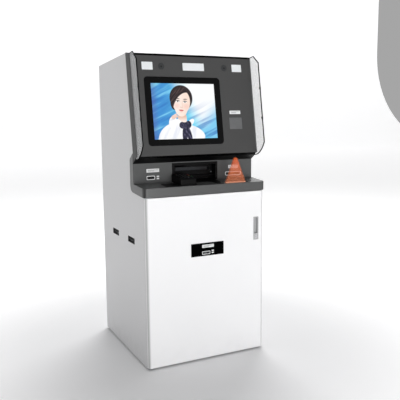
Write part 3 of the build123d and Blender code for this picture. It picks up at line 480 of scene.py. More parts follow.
def labelWhite(name, colour, glow=0.0):
    # a glow above zero is painted light that brightens the label, which is no lamp
    label = Finish(name, **{"Specular IOR Level": 0.35, "Emission Strength": glow})
    places = label.places()
    fleck = label.noise(places, 700.0, 2)
    stain = label.noise(places, 60.0, 3)
    body = label.mix(stain, shade(colour, 0.96), shade(colour, 1.02))
    label.set(Base_Color=body, Emission_Color=body, Roughness=0.4 + (fleck - 0.5) * 0.15)
    label.bump(fleck, 0.01, 0.4)
    return label.material


ringLook = {"whiteTo": 0.9, "darkFrom": 1.4, "white": (tone(238, 239, 240), tone(248, 249, 249)),
            "dark": (tone(34, 35, 36), tone(44, 45, 46))}


def slotRing(name, node):
    # white raised ring round a dark recessed face
    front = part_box(node)[0].y
    # the emission is a painted glow over the ring and its face, which are no lamps
    ring = Finish(name, **{"Specular IOR Level": 0.3, "Emission Strength": 0.12})
    places = ring.places()
    depth = ring.split(places)[1]
    deep = ring.fade(depth, front + ringLook["whiteTo"] * mm, front + ringLook["darkFrom"] * mm)
    fleck = ring.noise(places, 700.0, 2)
    cloud = ring.noise(places, 40.0, 3)
    body = ring.mix(deep, ring.mix(cloud, *ringLook["white"]), ring.mix(cloud, *ringLook["dark"]))
    ring.set(Base_Color=body, Emission_Color=body, Roughness=0.4 + (fleck - 0.5) * 0.15)
    ring.bump(fleck, 0.01, 0.4)
    return ring.material


readerLook = {"windowTo": 25, "labelFrom": 24, "window": (tone(98, 99, 100), tone(110, 111, 112)),
              "label": (tone(238, 239, 240), tone(248, 249, 249))}


def readerFace(name):
    # grey window below, white label above the gap between them
    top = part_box("contactless_reader")[1].z
    face = Finish(name, **{"Specular IOR Level": 0.3})
    places = face.places()
    rise = face.split(places)[2]
    upper = face.fade(rise, top - readerLook["windowTo"] * mm, top - readerLook["labelFrom"] * mm)
    fleck = face.noise(places, 700.0, 2)
    cloud = face.noise(places, 40.0, 3)
    body = face.mix(upper, face.mix(cloud, *readerLook["window"]), face.mix(cloud, *readerLook["label"]))
    face.set(Base_Color=body, Roughness=0.42 + (fleck - 0.5) * 0.14)
    face.bump(fleck, 0.02, 0.4)
    return face.material


footLook = {"padTop": 4.6, "zincFrom": 5.2, "thread": 1.5, "pad": tone(24, 24, 25)}


def footSteel(name):
    # zinc stud and collar over a black rubber pad
    foot = Finish(name)
    places = foot.places()
    height = foot.split(places)[2]
    zinc = foot.fade(height, footLook["padTop"] * mm, footLook["zincFrom"] * mm)
    threads = foot.wave(height, footLook["thread"] * mm)
    grime = foot.noise(places, 60.0, 3)
    steel = foot.mix(grime, tone(120, 122, 124), tone(178, 180, 182))
    foot.set(Base_Color=foot.mix(zinc, footLook["pad"], steel), Metallic=zinc,
             Roughness=0.7 - zinc * 0.35 + (grime - 0.5) * 0.1)
    foot.bump(threads * zinc, 0.3, 0.5)
    return foot.material


paperLook = {"turn": 0.7, "light": tone(244, 243, 238), "dark": tone(214, 212, 205)}


def thermalPaper(name):
    # wound edge shows fine rings round the roll's axle
    low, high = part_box("receipt_roll")
    middle = (low + high) / 2
    roll = Finish(name, **{"Specular IOR Level": 0.3})
    places = roll.places()
    y, z = roll.split(roll.mapped(places, tuple(middle)))[1:]
    far = (y * y + z * z) ** 0.5
    rings = roll.wave(far, paperLook["turn"] * mm) * 0.5 + 0.5
    fibre = roll.noise(places, 900.0, 3)
    roll.set(Base_Color=roll.mix(rings * 0.4 + fibre * 0.3, paperLook["light"], paperLook["dark"]),
             Roughness=0.75 + (fibre - 0.5) * 0.1)
    roll.bump(rings, 0.05, 0.5)
    return roll.material


def plainInk(name, colour, glow=0.0):
    ink = Finish(name, **{"Specular IOR Level": 0.3, "Emission Strength": glow})
    grain = ink.noise(ink.places(), 800.0, 2)
    body = ink.mix(grain, shade(colour, 0.85), shade(colour, 1.1))
    ink.set(Base_Color=body, Emission_Color=body, Roughness=0.5 + (grain - 0.5) * 0.15)
    return ink.material


finishes = {
    "sidePaint": powderPaint("sidePaint", tone(207, 207, 208), 0.5, dust=0.2, gloss=0.25),
    # the door's corner entry paints shade on its rounded front corners
    "doorPaint": powderPaint("doorPaint", tone(245, 245, 246), 0.45, dust=0.1, gloss=0.25,
                             corner=("door_skin", 15.5, 0.7)),
    "fasciaPaint": powderPaint("fasciaPaint", tone(77, 77, 77), 0.5, 0.8, 0.04, gloss=0.12),
    # the lip's corner entry paints shade on its rounded front corners
    "housingGrey": mouldedPlastic("housingGrey", tone(80, 81, 81), 0.33, gloss=0.4, rub=0.2,
                                  corner=("shelf_housing", 20.0, 0.95)),
    "wallGrey": mouldedPlastic("wallGrey", tone(95, 96, 96), 0.5, gloss=0.12, rub=0.4),
    "blackGrain": mouldedPlastic("blackGrain", tone(10, 10, 11), 0.36, gloss=0.08),
    "slotCup": mouldedPlastic("slotCup", tone(58, 59, 60), 0.55, gloss=0.2),
    "bezelBlack": glossPlastic("bezelBlack", tone(8, 8, 9), 0.22, 0.1),
    "cameraSmoke": glossPlastic("cameraSmoke", tone(60, 61, 62), 0.35, 0.12),
    "wingWhite": frostedSheet("wingWhite", tone(236, 237, 238)),
    "trimBlack": rubber("trimBlack"),
    "edgeBlack": rubber("edgeBlack", (0.0015, 0.0015, 0.0015), 0.03),
    "keySteel": brushedSteel("keySteel", tone(40, 41, 43), 0.36),
    "eyeBlack": glossPlastic("eyeBlack", tone(44, 45, 46), 0.2, 0.2),
    "cardRing": slotRing("cardRing", "card_bezel"),
    "receiptRing": slotRing("receiptRing", "receipt_bezel"),
    "plateBlack": glossPlastic("plateBlack", tone(5, 5, 5), 0.3, 0.0),
    # its glow is painted light on the white labels and tags
    "markerWhite": labelWhite("markerWhite", tone(226, 227, 227), 0.06),
    "readerFace": readerFace("readerFace"),
    "guardAmber": amberSheet("guardAmber"),
    "pullGrey": mouldedPlastic("pullGrey", tone(182, 183, 184), 0.42, 0.6, gloss=0.2, rub=0.6),
    "shutterSteel": brushedSteel("shutterSteel", tone(46, 47, 49), 0.34),
    "frameZinc": brushedSteel("frameZinc", tone(150, 153, 157), 0.42, (0, 0, 1)),
    "brightSteel": brushedSteel("brightSteel", tone(196, 197, 200), 0.24),
    "vaultPaint": hammeredPaint("vaultPaint", tone(112, 120, 128)),
    "cassetteGrey": mouldedPlastic("cassetteGrey", tone(140, 143, 148), 0.48, 0.8, 0.08),
    "moduleBlack": mouldedPlastic("moduleBlack", tone(40, 41, 43), 0.52, 0.9, 0.08),
    "computerPaint": powderPaint("computerPaint", tone(92, 95, 100), 0.55, 1.2, 0.08),
    "paper": thermalPaper("paper"),
    "footSteel": footSteel("footSteel"),
    "lens": lightLens("lens"),
    "inkGrey": plainInk("inkGrey", tone(120, 122, 124)),
    "inkWhite": plainInk("inkWhite", tone(200, 201, 202)),
    "inkRed": plainInk("inkRed", tone(196, 44, 38)),
    "inkYellow": plainInk("inkYellow", tone(232, 184, 44)),
    "inkGreen": plainInk("inkGreen", tone(52, 150, 84)),
    "panelBlack": glossPlastic("panelBlack", tone(12, 12, 13), 0.3, 0.3),
}
print("finishes made:", len(finishes))


class Drawing(Finish):
    # a lit picture in layers, each laid over the ones before
    def lay(self, mask, colour):
        self.ground = self.mix(mask, self.ground, colour)

    def dab(self, places, centre, radii, colour, turn=0, soft=0.05, share=1.0):
        # one oval of colour
        mask = self.oval(places, centre, radii, turn, soft)
        self.lay(mask * share if share < 1 else mask, colour)


attendant = {
    "spot": (0.57, 0.672), "tilt": -5, "size": 1.08,
    "hair": tone(38, 30, 32), "hairShine": tone(86, 66, 64), "skin": tone(252, 226, 210),
    "skinLight": tone(255, 240, 232), "brow": tone(58, 42, 40), "cap": ((-0.005, 0.06), (0.208, 0.215)),
}


def drawRibbons(picture, spot):
    # blue at the left, white at the upper right, cyan at the lower right, with blurred ribbons
    x, y = picture.split(spot)[:2]
    right = picture.fade(x, 0.15, 0.85)
    high = picture.fade(y, 0.2, 0.75)
    picture.ground = picture.mix(right, tone(64, 146, 214), tone(110, 222, 250))
    picture.lay(picture.fade(x + y * 0.55, 0.85, 1.25), tone(252, 254, 255))
    picture.lay(picture.fade(x - y, 0.45, 0.95) * 0.85, tone(84, 196, 240))
    ribbons = picture.noise(picture.mapped(spot, turn=(0, 0, 0.42), size=(1.1, 0.11, 1)), 1.0, 3, 0.5, 0.3)
    picture.lay(picture.fade(ribbons, 0.5, 0.66) * (1 - right) * 0.85, tone(142, 226, 252))
    picture.lay(picture.fade(ribbons, 0.5, 0.36) * (1 - right * high) * 0.7, tone(44, 110, 190))
    picture.lay(picture.fade(x, 0.0, 0.14, 1.0, 0.0) * 0.55, tone(84, 96, 170))


def drawShirt(picture, spot):
    shoulders = picture.oval(spot, (0.49, -0.03), (0.415, 0.335), soft=0.02)
    sleeve = picture.oval(spot, (0.60, 0.08), (0.40, 0.19), -8, 0.03)
    folds = picture.noise(picture.mapped(spot, turn=(0, 0, 1.2), size=(0.5, 0.09, 1)), 1.0, 2)
    cloth = picture.mix(picture.fade(folds, 0.42, 0.68) * 0.45, tone(255, 255, 255), tone(206, 214, 236))
    picture.lay(shoulders | sleeve, cloth)


def drawHead(picture, spot, head):
    hair = attendant["hair"]
    cap = picture.oval(head, *attendant["cap"], soft=0.03)
    picture.lay(cap | picture.oval(head, (-0.14, -0.05), (0.055, 0.1), 12, 0.06), hair)
    throat = picture.fade(picture.split(spot)[1], 0.30, 0.42)
    neck = picture.mix(throat, attendant["skinLight"], tone(232, 190, 168))
    picture.dab(head, (0.02, -0.30), (0.082, 0.15), neck)
    face = picture.oval(head, (0.0, 0.0), (0.16, 0.205), soft=0.03) | picture.oval(
        head, (0.0, -0.095), (0.118, 0.155), soft=0.04)
    warm = picture.fade(picture.split(head)[0], -0.16, 0.17)
    picture.lay(face, picture.mix(warm, attendant["skinLight"], attendant["skin"]))
    for side in (-1, 1):
        picture.dab(head, (side * 0.088, -0.075), (0.05, 0.04), tone(246, 176, 164), 0, 0.9, 0.35)

    # swept hair is all of the head outside the brow's opening
    opening = picture.oval(head, (0.045, -0.115), (0.185, 0.285), -20, 0.03)
    strand = picture.noise(picture.mapped(head, turn=(0, 0, 0.9), size=(0.24, 0.02, 1)), 1.0, 3)
    locks = picture.mix(picture.fade(strand, 0.42, 0.72), hair, attendant["hairShine"])
    picture.lay(cap * (1 - opening), locks)


def drawFeatures(picture, head):
    # plain book proportions
    brow = attendant["brow"]
    for side in (-1, 1):
        x = side * 0.066
        picture.dab(head, (side * 0.068, 0.047), (0.038, 0.0065), brow, side * 5, 0.4)
        picture.dab(head, (x, 0.006), (0.036, 0.0165), brow, 0, 0.25)
        white = picture.oval(head, (x, -0.001), (0.032, 0.0135), soft=0.15)
        picture.lay(white, tone(252, 250, 250))
        picture.lay(picture.oval(head, (x, 0.001), (0.0135, 0.0135), soft=0.12) * white, tone(78, 54, 44))
        picture.lay(picture.oval(head, (x, 0.001), (0.006, 0.006), soft=0.2) * white, tone(18, 14, 14))
        picture.dab(head, (x + 0.004, 0.006), (0.003, 0.003), tone(255), 0, 0.3)
        picture.dab(head, (side * 0.014, -0.09), (0.007, 0.004), tone(196, 138, 122), side * 25, 0.6, 0.6)
    # nose, lips and chin
    picture.dab(head, (0.018, -0.05), (0.008, 0.05), tone(226, 178, 160), 4, 0.9, 0.3)
    picture.dab(head, (0.0, -0.098), (0.02, 0.006), tone(222, 168, 150), 0, 0.9, 0.5)
    picture.dab(head, (0.0, -0.143), (0.044, 0.0095), tone(214, 112, 112), 0, 0.2)
    picture.dab(head, (0.0, -0.152), (0.032, 0.0115), tone(232, 136, 132), 0, 0.25)
    picture.dab(head, (0.0, -0.1445), (0.041, 0.0022), tone(150, 70, 72), 0, 0.5)
    picture.dab(head, (0.0, -0.178), (0.026, 0.006), tone(228, 178, 160), 0, 0.9, 0.35)


def drawScarf(picture, spot):
    # collar edges, then the knot with its two tails
    picture.dab(spot, (0.505, 0.285), (0.09, 0.045), tone(255), -48, 0.06)
    picture.dab(spot, (0.725, 0.29), (0.09, 0.045), tone(255), 44, 0.06)
    scarf = picture.oval(spot, (0.615, 0.245), (0.10, 0.055), 0, 0.05)
    for centre, radii, turn in (((0.60, 0.10), (0.055, 0.17), -6), ((0.675, 0.09), (0.05, 0.17), 14),
                                ((0.555, 0.245), (0.06, 0.062), 22), ((0.675, 0.255), (0.062, 0.07), -16)):
        scarf = scarf | picture.oval(spot, centre, radii, turn, 0.05)
    weave = picture.noise(picture.mapped(spot, turn=(0, 0, 0.3), size=(0.035, 0.09, 1)), 1.0, 3)
    picture.lay(scarf, picture.mix(picture.fade(weave, 0.45, 0.7), tone(36, 36, 58), tone(96, 92, 120)))
    picture.dab(spot, (0.617, 0.235), (0.028, 0.035), tone(52, 50, 74), 0, 0.1)


def drawHand(picture, spot):
    # a hand resting by the cheek, with the cuff below it
    picture.dab(spot, (0.375, 0.30), (0.075, 0.115), tone(255), -14, 0.04)
    picture.dab(spot, (0.40, 0.395), (0.05, 0.036), tone(246, 208, 190), 24, 0.1)
    for index in range(3):
        x = 0.43 + index * 0.008
        y = 0.438 - index * 0.021
        turn = 26 - index * 8
        finger = tone(252 - index * 4, 222 - index * 6, 206 - index * 6)
        picture.dab(spot, (x, y), (0.043, 0.0115), finger, turn, 0.14)
        picture.dab(spot, (x, y - 0.0115), (0.04, 0.003), tone(206, 148, 128), turn, 0.5, 0.5)
    picture.dab(spot, (0.372, 0.352), (0.052, 0.012), tone(196, 200, 226), 14, 0.3, 0.5)


def screenPicture(aspect):
    # a calm attendant of no one in particular before blue ribbons
    picture = Drawing("screenPicture", **{"Base Color": (0.004, 0.004, 0.005, 1), "Roughness": 0.22,
                                          "Specular IOR Level": 0.25, "Emission Strength": 1.0})
    spot = picture.mapped(picture.places("UV"), size=(aspect, 1, 1), kind="POINT")
    size = attendant["size"]
    tilt = math.radians(attendant["tilt"])
    head = picture.mapped(spot, (*attendant["spot"], 0), (0, 0, tilt), (size, size, 1))
    drawRibbons(picture, spot)
    drawShirt(picture, spot)
    drawHead(picture, spot, head)
    drawFeatures(picture, head)
    drawScarf(picture, spot)
    drawHand(picture, spot)
    picture.set(Emission_Color=picture.ground)
    return picture.material


shells = {
    # node that becomes a softened copy: (finish, edge radius in mm)
    "side_panel_left": ("sidePaint", 0.5), "side_panel_right": ("sidePaint", 0.5),
    "roof_panel": ("sidePaint", 0.4), "rear_panel": ("sidePaint", 0.3),
    "side_slots": ("slotCup", 0.3), "shelf_housing": ("housingGrey", 1.0),
    "recess_wall": ("wallGrey", 0.4), "cash_recess": ("blackGrain", 0.6),
    "keypad_housing": ("blackGrain", 0.5), "card_bezel": ("cardRing", 0.3),
    "receipt_bezel": ("receiptRing", 0.3), "wall_markers": ("markerWhite", 0.15),
    "card_guard": ("guardAmber", 0.6), "door_skin": ("doorPaint", 0.5),
    "door_plate": ("plateBlack", 0.4), "door_markers": ("markerWhite", 0.12),
    "door_pull": ("pullGrey", 0.8), "fascia_panel": ("fasciaPaint", 0.5),
    "fascia_chin": ("blackGrain", 0.5), "screen_bezel": ("bezelBlack", 0.4),
    "light_panels": ("lens", 0.3), "camera_windows": ("cameraSmoke", 0.25),
    "wing_left": ("wingWhite", 0.8), "wing_right": ("wingWhite", 0.8),
    "wing_trim": ("edgeBlack", 0.3), "cash_shutter": ("shutterSteel", 0.4),
    "door_lock": ("brightSteel", 0.3), "levelling_feet": ("footSteel", 0.4),
    "vault_dial": ("brightSteel", 0.3), "vault_handle": ("brightSteel", 0.3),
    "hinge_pins": ("brightSteel", 0.2), "receipt_roll": ("paper", 0.3),
    "cash_cassettes": ("cassetteGrey", 0.8), "vault_door": ("vaultPaint", 0.8),
    "control_computer": ("computerPaint", 0.5), "contactless_reader": ("readerFace", 0.4),
}
plainNodes = {
    # node that keeps its own mesh: finish
    "base_frame": "frameZinc", "inner_frame": "frameZinc", "card_reader": "moduleBlack",
    "receipt_printer": "moduleBlack", "safe_body": "vaultPaint", "cash_dispenser": "moduleBlack",
    "power_inlet": "moduleBlack", "door_frame": "frameZinc", "display_module": "panelBlack",
}
shells.update({node: ("keySteel", 0.35) for node in nodes if node.startswith("key_")})
merging = {"doubles": 0.002, "flatTo": 0.4}


def softCopy(node, finish, width):
    # a merged copy of a CAD node with its edges eased, kept inside the node's own box
    piece = twin(nodes[node], node + "_shell")
    piece.data.materials.clear()
    piece.data.materials.append(finishes[finish])
    editAll(piece)
    bpy.ops.mesh.remove_doubles(threshold=merging["doubles"] * mm)
    bpy.ops.mesh.dissolve_limited(angle_limit=math.radians(merging["flatTo"]))
    doneEditing()
    roundEdges(piece, width)
    low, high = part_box(node)
    for vertex in piece.data.vertices:
        vertex.co = [min(max(c, a), b) for c, a, b in zip(vertex.co, low, high)]
    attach(piece, bodyOfNode[node])
    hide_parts(node)


for node, finish in plainNodes.items():
    nodes[node].material_slots[0].material = finishes[finish]
for node, (finish, width) in shells.items():
    softCopy(node, finish, width)
print("shells softened:", len(shells))


screenPlate = {"inset": 0.6, "thick": 0.7, "edge": 0.15, "proud": 0.1}


def makeScreen():
    # the lit glass in front of the display module
    place, width, height = flatSpots("display_module", (0, -1, 0.15))[0]
    letGo()
    bpy.ops.mesh.primitive_plane_add(size=1)
    plate = bpy.context.object
    editAll(plate)
    trim = 2 * screenPlate["inset"] * mm
    bpy.ops.transform.resize(value=(width - trim, height - trim, 1))
    doneEditing()
    addModifier(plate, "SOLIDIFY", thickness=screenPlate["thick"] * mm, offset=1)
    roundEdges(plate, screenPlate["edge"])
    settle(plate, "screen_glass", place @ at(0, 0, screenPlate["proud"]), "fascia",
           screenPicture(width / height))


makeScreen()
print("screen made")


legends = {
    "size": 7.2, "thick": 0.14, "pointRise": 1.6, "bar": (9.6, 2.2), "barDrop": 4.2, "mark": 5.4,
    "markRise": 1.8, "line": 0.8, "lineCorner": 0.3, "crossTurn": 45, "arrowTurn": 38, "arrowGap": 1.55,
}


flatMarks = {"letterSteps": 4, "cornerShare": 0.45, "cornerSteps": 4, "ringSides": 40}


def textPiece(words, size, thick):
    letGo()
    bpy.ops.object.text_add()
    label = bpy.context.object
    label.data.body = words
    label.data.size = size * mm
    label.data.align_x = "CENTER"
    label.data.align_y = "CENTER"
    label.data.extrude = thick * mm / 2
    label.data.resolution_u = flatMarks["letterSteps"]
    bpy.ops.object.convert(target="MESH")
    return bpy.context.object


def barPiece(width, height, thick, corner=0.5):
    # a flat bar with rounded corners
    letGo()
    bpy.ops.mesh.primitive_plane_add(size=1)
    bar = bpy.context.object
    editAll(bar)
    bpy.ops.transform.resize(value=(width * mm, height * mm, 1))
    bpy.ops.mesh.select_mode(type="VERT")
    bpy.ops.mesh.select_all(action="SELECT")
    radius = min(corner, height * flatMarks["cornerShare"]) * mm
    bpy.ops.mesh.bevel(offset=radius, segments=flatMarks["cornerSteps"], affect="VERTICES")
    doneEditing()
    addModifier(bar, "SOLIDIFY", thickness=thick * mm, offset=1)
    return bar


def ringPiece(radius, line, thick):
    # a flat ring, left when the middle of a disc is taken out
    letGo()
    bpy.ops.mesh.primitive_circle_add(vertices=flatMarks["ringSides"], radius=radius * mm, fill_type="NGON")
    ring = bpy.context.object
    editAll(ring)
    bpy.ops.mesh.inset(thickness=line * mm)
    bpy.ops.mesh.delete(type="FACE")
    doneEditing()
    addModifier(ring, "SOLIDIFY", thickness=thick * mm, offset=1)
    return ring


def crossedBars(turn, gap, name):
    # two short bars, one turned each way and set half apart
    arms = []
    for side in (1, -1):
        arm = barPiece(legends["mark"], legends["line"], legends["thick"], legends["lineCorner"])
        arm.data.transform(at(0, side * gap) @ turned(side * turn))
        arms.append(arm)
    return joined(arms, name)


def makeKeyMarks():
    digits = {f"key_{n}": str(n) for n in range(10)}
    digits.update({"key_double_0": "00", "key_point": "."})
    thick = legends["thick"]
    for node, words in digits.items():
        place = flatSpots(node, (0, -0.1, 1))[0][0]
        rise = legends["pointRise"] if words == "." else 0.0
        settle(textPiece(words, legends["size"], thick), node + "_legend", place @ at(0, rise, thick / 2),
               bodyOfNode[node], finishes["inkWhite"])
    for node, ink in (("key_cancel", "inkRed"), ("key_clear", "inkYellow"), ("key_enter", "inkGreen")):
        place = flatSpots(node, (0, -0.1, 1))[0][0]
        settle(barPiece(*legends["bar"], thick), node + "_bar", place @ at(0, -legends["barDrop"]),
               bodyOfNode[node], finishes[ink])
        if node == "key_enter":
            mark = ringPiece(legends["mark"] / 2, legends["line"], thick)
        elif node == "key_cancel":
            mark = crossedBars(legends["crossTurn"], 0.0, node + "_mark")
        else:
            mark = crossedBars(legends["arrowTurn"], legends["arrowGap"], node + "_mark")
        settle(mark, node + "_mark", place @ at(0, legends["markRise"]), bodyOfNode[node],
               finishes["inkWhite"])


makeKeyMarks()
print("key legends made")


labelPrint = {"thick": 0.06, "row": 2.0, "shift": 2.4, "margin": 6.0, "corner": 0.3, "lowerRow": 0.62,
              "shortest": 30.0, "tallest": 25.0}


def printLabel(node, toward, body):
    # two grey bars on each blank label plate of a node
    rows = []
    for place, width, height in flatSpots(node, toward):
        wide, tall = width / mm, height / mm
        if wide < labelPrint["shortest"] or tall > labelPrint["tallest"]:
            continue
        long = wide - 2 * labelPrint["margin"]
        for shift, share in ((labelPrint["shift"], 1.0), (-labelPrint["shift"], labelPrint["lowerRow"])):
            bar = barPiece(long * share, labelPrint["row"], labelPrint["thick"], labelPrint["corner"])
            bar.data.transform(place @ at(-long * (1 - share) / 2, shift))
            rows.append(bar)
    settle(joined(rows, node + "_print"), node + "_print", Matrix.Identity(4), body, finishes["inkGrey"])


printLabel("wall_markers", (0, -1, 0), "cabinet")
printLabel("contactless_reader", (0, -1, 0.15), "fascia")
print("labels printed")


topStrip = {"high": 8.6, "proud": 1.6, "deep": 9.0, "shorter": 13, "edge": 0.4, "over": 0.2}


def makeTopStrip():
    # black strip along the fascia's top edge
    low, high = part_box("fascia_panel")
    place, _, height = flatSpots("fascia_panel", (0, -1, 0.15))[0]
    letGo()
    bpy.ops.mesh.primitive_cube_add(size=1)
    strip = bpy.context.object
    editAll(strip)
    long = high.x - low.x - topStrip["shorter"] * mm
    bpy.ops.transform.resize(value=(long, topStrip["high"] * mm, topStrip["deep"] * mm))
    doneEditing()
    roundEdges(strip, topStrip["edge"])
    lift = height / 2 / mm - topStrip["high"] / 2 + topStrip["over"]
    settle(strip, "fascia_top_strip", place @ at(0, lift, topStrip["proud"] - topStrip["deep"] / 2), "fascia",
           finishes["edgeBlack"])


makeTopStrip()


def discPiece(radius, thick, corner=0.0, sides=32):
    letGo()
    bpy.ops.mesh.primitive_cylinder_add(vertices=sides, radius=radius * mm, depth=thick * mm,
                                        location=(0, 0, thick * mm / 2))
    disc = bpy.context.object
    disc.data.transform(disc.matrix_basis)
    disc.matrix_basis = Matrix.Identity(4)
    if corner:
        roundEdges(disc, corner)
    return disc


def blockPiece(wide, tall, thick, corner=0.0):
    # a box standing on its own plane
    letGo()
    bpy.ops.mesh.primitive_cube_add(size=1)
    solid = bpy.context.object
    solid.data.transform(Matrix.Diagonal((wide * mm, tall * mm, thick * mm, 1)))
    solid.data.transform(at(0, 0, thick / 2))
    if corner:
        roundEdges(solid, corner)
    return solid


def cut(piece, tool):
    addModifier(piece, "BOOLEAN", operation="DIFFERENCE", object=tool, solver="EXACT")
    bpy.data.objects.remove(tool)


def hang(pieces, name, body, finish, place=Matrix.Identity(4)):
    # small pieces joined and settled as one
    settle(joined(pieces, name), name, place, body, finishes[finish])


rearScrews = {"head": 3.6, "high": 1.8, "slot": 0.9, "slotShare": 1.2, "sunk": 0.9, "edge": 0.7, "rows": 6,
              "inset": 12, "margin": 40, "turn": 17, "rowTurn": 29, "sideTurn": 40}


def screwPiece(turn):
    # a cross-slotted head
    head = discPiece(rearScrews["head"], rearScrews["high"], rearScrews["edge"])
    for extra in (0, 90):
        long = rearScrews["head"] * rearScrews["slotShare"]
        bar = blockPiece(long, rearScrews["slot"], rearScrews["high"])
        bar.data.transform(at(0, 0, rearScrews["high"] - rearScrews["sunk"]) @ turned(turn + extra))
        cut(head, bar)
    return head


def makeRearScrews():
    place, width, height = flatSpots("rear_panel", (0, 1, 0))[0]
    screws = []
    for side in (-1, 1):
        for row in range(rearScrews["rows"]):
            across = side * (width / mm / 2 - rearScrews["inset"])
            up = (row / (rearScrews["rows"] - 1) - 0.5) * (height / mm - rearScrews["margin"])
            turn = rearScrews["turn"] + rearScrews["rowTurn"] * row + rearScrews["sideTurn"] * side
            screw = screwPiece(turn)
            screw.data.transform(place @ at(across, up))
            screws.append(screw)
    hang(screws, "rear_screws", "cabinet", "brightSteel")


rearLock = {"collar": (12.5, 1.6, 0.5, 48), "core": (6.0, 2.4, 0.4, 40), "keyway": (7.0, 1.2, 4.0),
            "drop": 60}


def makeRearLock():
    place, _, height = flatSpots("rear_panel", (0, 1, 0))[0]
    collar = discPiece(*rearLock["collar"])
    core = discPiece(*rearLock["core"])
    cut(core, blockPiece(*rearLock["keyway"]))
    hang([collar, core], "rear_lock", "cabinet", "brightSteel",
         place @ at(0, height / mm / 2 - rearLock["drop"]))


cameraEye = {"rim": 0.4, "line": 1.1, "ringThick": 0.3, "radius": 4.2, "thick": 0.25, "edge": 0.1}


def makeCameraEyes():
    # a rim and a dark pupil on both camera windows
    rings, eyes = [], []
    for place, width, _ in flatSpots("camera_windows", (0, -1, 0.15))[:2]:
        ring = ringPiece(width / mm / 2 - cameraEye["rim"], cameraEye["line"], cameraEye["ringThick"])
        ring.data.transform(place)
        rings.append(ring)
        eye = discPiece(cameraEye["radius"], cameraEye["thick"], cameraEye["edge"])
        eye.data.transform(place)
        eyes.append(eye)
    hang(rings, "camera_rings", "fascia", "cameraSmoke")
    hang(eyes, "camera_eyes", "fascia", "eyeBlack")


doorSeal = {"bead": 2.4, "thick": 1.6, "edge": 0.5, "behind": 0.8, "shorter": 60, "offHinge": 22, "lower": 8}


def makeDoorSeal():
    # foam bead on three sides of the door's rim
    low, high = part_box("door_skin")
    bead = doorSeal["bead"] * mm
    middle = (low + high) / 2
    level = high.x - low.x - doorSeal["shorter"] * mm
    upright = high.z - low.z - doorSeal["lower"] * mm
    across = middle.x + doorSeal["offHinge"] * mm
    strips = []
    for long, turn, x, z in ((level, 0, across, low.z + bead), (level, 0, across, high.z - bead),
                             (upright, 90, high.x - bead, middle.z)):
        strip = blockPiece(long / mm, doorSeal["bead"], doorSeal["thick"], doorSeal["edge"])
        strip.data.transform(facingFront(x, high.y + doorSeal["behind"] * mm, z) @ turned(turn))
        strips.append(strip)
    hang(strips, "door_seal", "front_door", "trimBlack")


dialScale = {"outer": 26.2, "ticks": 50, "tick": 2.2, "shortTick": 0.6, "wide": 0.35, "corner": 0.1,
             "numbers": 10, "size": 3.0, "radius": 21.0, "thick": 0.08}


def makeDialScale():
    # ticks and tens round the vault dial's skirt
    low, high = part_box("vault_dial")
    skirt = max(flatSpots("vault_dial", (0, -1, 0)), key=lambda spot: spot[1])[0]
    face = Matrix((skirt.col[0].xyz, skirt.col[1].xyz, skirt.col[2].xyz)).transposed().to_4x4()
    face.translation = ((low.x + high.x) / 2, skirt.translation.y, (low.z + high.z) / 2)
    marks = []
    for index in range(dialScale["ticks"]):
        tall = dialScale["tick"] * (1.0 if index % 5 == 0 else dialScale["shortTick"])
        tick = barPiece(dialScale["wide"], tall, dialScale["thick"], dialScale["corner"])
        turn = turned(-360 / dialScale["ticks"] * index)
        tick.data.transform(turn @ at(0, dialScale["outer"] - tall / 2))
        marks.append(tick)
    for index in range(dialScale["numbers"]):
        number = textPiece(str(index * 10), dialScale["size"], dialScale["thick"])
        turn = turned(-360 / dialScale["numbers"] * index)
        number.data.transform(turn @ at(0, dialScale["radius"], dialScale["thick"] / 2))
        marks.append(number)
    hang(marks, "dial_scale", "dial", "trimBlack", face)


recessLamp = {"radius": 3.2, "thick": 0.6, "edge": 0.25, "roundness": 0.5}


def makeRecessLamp():
    # the little lamp above the note slot's ledge sits on the recess's smallest square patch
    patches = [spot for spot in flatSpots("cash_recess", (0, -1, 0))
               if abs(spot[1] - spot[2]) < recessLamp["roundness"] * mm]
    place = min(patches, key=lambda spot: spot[1])[0]
    lens = discPiece(recessLamp["radius"], recessLamp["thick"], recessLamp["edge"])
    hang([lens], "recess_lamp", "cabinet", "inkGrey", place)


tagStyle = {"thick": 0.15, "corner": 1.0, "ink": 0.06, "inkCorner": 0.3}
cassetteTag = {"count": 4, "pitch": 146.0, "first": 108, "left": 70, "plate": (52, 18), "line": 2.0,
               "lines": ((3.5, 40), (-1.0, 40), (-5.0, 22))}
computerTag = {"left": 90, "above": 20, "plate": (70, 30), "line": 2.2,
               "lines": ((7, 56), (2, 56), (-3, 40), (-8, 30))}


def addTag(spot, tag, plates, inks):
    # a plate with lines of print that start at one margin
    plate = barPiece(*tag["plate"], tagStyle["thick"], tagStyle["corner"])
    plate.data.transform(spot)
    plates.append(plate)
    longest = tag["lines"][0][1]
    for row, long in tag["lines"]:
        line = barPiece(long, tag["line"], tagStyle["ink"], tagStyle["inkCorner"])
        line.data.transform(spot @ at((long - longest) / 2, row, tagStyle["thick"]))
        inks.append(line)


def makeTags():
    # printed tags on the cassettes and the control computer
    plates, inks = [], []
    low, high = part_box("cash_cassettes")
    x = (low.x + high.x) / 2 - cassetteTag["left"] * mm
    for index in range(cassetteTag["count"]):
        z = low.z + (index * cassetteTag["pitch"] + cassetteTag["first"]) * mm
        addTag(facingFront(x, low.y, z), cassetteTag, plates, inks)
    low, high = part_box("control_computer")
    x = (low.x + high.x) / 2 - computerTag["left"] * mm
    z = (low.z + high.z) / 2 + computerTag["above"] * mm
    addTag(facingFront(x, low.y, z), computerTag, plates, inks)
    hang(plates, "tag_plates", "cabinet", "markerWhite")
    hang(inks, "tag_print", "cabinet", "inkGrey")


